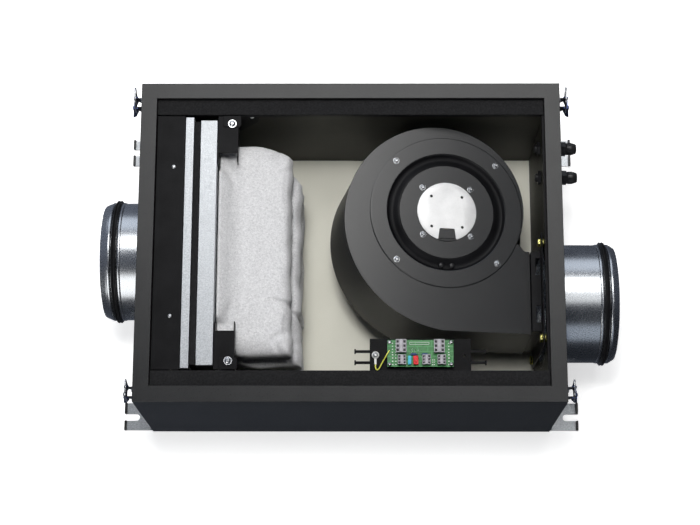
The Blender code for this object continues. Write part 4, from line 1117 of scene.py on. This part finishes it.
def puff(piece, mouth):
    """Swell the fleece by a short cloth run with air in it. The mouth is held."""
    held = piece.vertex_groups.new(name="held")
    held.add([v.index for v in piece.data.vertices if v.co.x < mouth + 0.006], 1.0, "REPLACE")
    before = [v.co.copy() for v in piece.data.vertices]
    cloth = piece.modifiers.new("cloth", "CLOTH")
    settings = cloth.settings
    settings.quality = 4
    settings.mass = 0.2
    settings.use_pressure = True
    settings.uniform_pressure_force = 4.0
    settings.tension_stiffness = 12
    settings.compression_stiffness = 4
    settings.bending_stiffness = 0.8
    settings.effector_weights.gravity = 0.0
    settings.vertex_group_mass = "held"
    cloth.collision_settings.use_collision = False
    for number in range(1, 21):
        SCENE.frame_set(number)
    apply_modifiers(piece)
    SCENE.frame_set(1)
    for vertex, start in zip(piece.data.vertices, before):
        step = vertex.co - start
        if step.length > SWELL:
            vertex.co = start + step * (SWELL / step.length)


def crease(point, origin, direction, width, depth, reach):
    """Depth of one fold at a point: a soft valley along a line that fades with distance."""
    direction = Vector(direction).normalized()
    offset = (point - Vector(origin)).xy
    along = offset.dot(direction.xy)
    across = abs(offset.x * direction.y - offset.y * direction.x)
    if along < 0 or along > reach:
        return 0.0
    fade = sin(pi * min(1.0, (along + reach * 0.15) / (reach * 1.15)))
    return -depth * fade * max(0.0, 1 - (across / width) ** 2) ** 2


def filter_pocket(number):
    """One fleece pocket, swollen and then wrinkled towards its free end."""
    node = f"filter_pocket_{number}"
    low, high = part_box(node)
    piece = pocket_shell(number, f"fleece_pocket_{number}")
    puff(piece, low.x)
    finer = piece.modifiers.new("finer", "SUBSURF")
    finer.levels = finer.render_levels = 1
    apply_modifiers(piece)
    wrinkle(piece.data, number, low, high)
    confine(piece.data, number, low, high)
    piece.data.materials.clear()
    piece.data.materials.append(MATERIALS["fleece"])
    piece.data.shade_smooth()
    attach(piece, "filter_cassette")
    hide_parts(node)


def wrinkle(mesh, number, low, high):
    """Ripples over the whole pocket, and folds and waves that grow towards its free end."""
    centre = (low + high) / 2
    folds = [   # start, direction, half width, depth, reach
        ((high.x + 0.006, low.y + 0.070), (-1, 0.10), 0.0044, 0.0060, 0.040),
        ((high.x + 0.002, low.y + 0.036), (-1, -0.50), 0.0070, 0.0030, 0.040),
        ((high.x - 0.006, low.y + 0.060), (-0.15, -1), 0.0060, 0.0026, 0.034),
        ((high.x + 0.002, centre.y - 0.004), (-1, 0.35), 0.0060, 0.0016, 0.026),
        ((high.x + 0.002, high.y - 0.034), (-1, -0.55), 0.0050, 0.0024, 0.030),
        ((high.x - 0.018, high.y - 0.002), (-0.35, -1), 0.0050, 0.0022, 0.026),
        ((high.x - 0.016, low.y + 0.002), (-0.5, 1), 0.0060, 0.0024, 0.030),
    ]
    seed = Vector((number * 3.1, number * 1.7, number * 0.9))
    for vertex in mesh.vertices:
        point = vertex.co.copy()
        free = max(0.0, min(1.0, (point.x - low.x) / (high.x - low.x)))
        upper = 1.0 if point.z > centre.z else -1.0
        ripple = noise.noise(point * 26 + seed) * 0.0013 + noise.noise(point * 75 + seed) * 0.0005
        lift = ripple * (0.25 + 0.75 * free)
        for (x, y), direction, width, depth, reach in folds:
            lift += crease(point, (x, y, 0), (*direction, 0), width, depth, reach)
        edge = min(1.0, abs(point.z - centre.z) / 0.006)
        rim = free ** 6
        lift += noise.noise(Vector((point.x * 30, point.y * 42, number))) * 0.0030 * rim
        vertex.co.z += upper * lift * edge
        wave = noise.noise(Vector((number * 5.3, point.y * 48, 0.5))) * 0.0034
        along = point.y - low.y
        wave += 0.0016 * max(0.0, 1 - ((along - 0.080) / 0.014) ** 2)
        wave -= 0.0030 * max(0.0, 1 - ((along - 0.070) / 0.006) ** 2)
        vertex.co.x += wave * rim + noise.noise(point * 40 - seed) * 0.0012 * free ** 3
        vertex.co.y += noise.noise(point * 34 + seed * 2) * 0.0014 * free


def confine(mesh, number, low, high):
    """Keep a pocket clear of its neighbours, the frame and the hold-downs."""
    top = number == TOP_POCKET
    z = (low.z + high.z) / 2
    floor, ceiling = z - 0.0214, z + (0.0235 if top else 0.0214)
    under_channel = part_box("hold_down_high")[0].z - 0.0010
    for vertex in mesh.vertices:
        limit = ceiling + (header(vertex.co, low.x) if top else 0.0)
        if top and abs(vertex.co.y) > CHANNEL_EDGE:
            limit = min(limit, under_channel)
        vertex.co.z = max(floor, min(limit, vertex.co.z))
        vertex.co.x = max(vertex.co.x, low.x - 0.0002)


# ---- Stage, light and camera -----------------------------------------------------
def stage_piece(name, bm, glow):
    """Plain pale surface that isn't part of the object."""
    piece = new_object(name, bm, outward=False)
    piece.data.materials.append(mottled(
        "pale_" + name, (0.86, 0.86, 0.86), (0.89, 0.89, 0.89), (0.8, 0.9), 2, 60, 0.02, 0.0005, 0.3,
        Emission_Color=(1, 1, 1, 1), Emission_Strength=glow,
    ))
    piece.data.shade_smooth()
    piece.location.z = CAD_BOX[0].z - 0.0006
    piece.visible_glossy = False
    return piece


def stage():
    """Pale floor, and a far curved backdrop that neither lights the object nor shades it."""
    bm = bmesh.new()
    bmesh.ops.create_circle(bm, cap_ends=True, segments=96, radius=7.0)
    stage_piece("studio_floor", bm, 0.62)
    bm = bmesh.new()
    profile = [(6.0, 0.004), (6.3, 0.03), (6.6, 0.14), (6.85, 0.40), (6.95, 0.80), (7.0, 1.4), (7.0, 9.0)]
    add_loft(bm, [ring(radius, z, points=96) for radius, z in profile], caps=False)
    backdrop = stage_piece("studio_backdrop", bm, 0.74)
    backdrop.visible_diffuse = False
    backdrop.visible_shadow = False


def softbox(name, at, size, power, colour, reflected=True, lights=True):
    """Area light aimed at the object. It can be left out of reflections, or be only a reflection."""
    data = bpy.data.lights.new(name, "AREA")
    data.shape = "RECTANGLE"
    data.size, data.size_y = size
    data.energy = power
    data.color = colour
    lamp = bpy.data.objects.new(name, data)
    SCENE.collection.objects.link(lamp)
    lamp.location = at
    lamp.visible_glossy = reflected
    lamp.visible_diffuse = lights
    lamp.rotation_euler = (LIT_POINT - Vector(at)).to_track_quat("-Z", "Y").to_euler()


def studio():
    """Bluish surroundings, brighter behind and to the left, and the softboxes."""
    world = bpy.data.worlds.new("studio")
    SCENE.world = world
    world.use_nodes = True
    tree = world.node_tree
    sky = tree.nodes["Background"]
    sky.inputs["Color"].default_value = (0.72, 0.80, 1.0, 1)
    direction = tree.nodes.new("ShaderNodeSeparateXYZ")
    tree.links.new(tree.nodes.new("ShaderNodeTexCoord").outputs["Generated"], direction.inputs[0])
    strength = tree.nodes.new("ShaderNodeMath")
    strength.operation = "MULTIPLY"
    for index, (axis, start, end, low, high) in enumerate((("X", -0.15, 0.15, 0.15, 0.07),
                                                            ("Y", -0.60, 0.30, 0.30, 1.20))):
        fade = tree.nodes.new("ShaderNodeMapRange")
        tree.links.new(direction.outputs[axis], fade.inputs["Value"])
        for socket, number in (("From Min", start), ("From Max", end), ("To Min", low), ("To Max", high)):
            fade.inputs[socket].default_value = number
        tree.links.new(fade.outputs["Result"], strength.inputs[index])
    tree.links.new(strength.outputs[0], sky.inputs["Strength"])
    white = (1.0, 0.995, 0.98)
    softbox("back_softbox", (0.08, 1.00, 2.35), (1.6, 1.15), 23, white)
    softbox("front_softbox", (-1.00, -1.90, 1.15), (1.6, 2.0), 18, white)
    softbox("side_softbox", (0.74, -0.12, 2.40), (0.75, 0.7), 2.2, white, lights=False)
    softbox("far_softbox", (-0.20, 2.30, 1.10), (3.4, 1.4), 12, (0.85, 0.91, 1.0), lights=False)
    softbox("low_softbox", (0.90, -2.20, 0.90), (1.2, 1.4), 2.6, (0.80, 0.88, 1.0), lights=False)
    softbox("top_fill", (-0.10, 0.12, 2.50), (0.5, 0.5), 37, white, reflected=False)
    SCENE.view_settings.view_transform = "Standard"


def camera():
    """Camera at the photograph's viewing angle."""
    data = bpy.data.cameras.new("camera")
    data.lens = 91.3525
    data.sensor_width = 36
    eye = bpy.data.objects.new("camera", data)
    SCENE.collection.objects.link(eye)
    eye.location = (0.018132, -0.601618, 2.445943)
    eye.rotation_euler = [radians(a) for a in (14.47992, 0.44388, 0.11776)]
    SCENE.camera = eye


# ---- Assembly --------------------------------------------------------------------
camera()
studio()
stage()
dress_kept_nodes()
for duct in ("inlet", "outlet"):
    spigot(duct)
for gland in ("low", "high"):
    cable_gland(gland)
panel_fasteners()
collar_fasteners()
fan_housing()
motor_cover()
fan_screws()
motor_inside()
board_parts(circuit_board())
earth_connection()
for corner in ("inlet_low", "inlet_high", "outlet_low", "outlet_high"):
    latch(corner)
    ear_details(corner)
for pocket in (1, 2, 3, 4):
    filter_pocket(pocket)
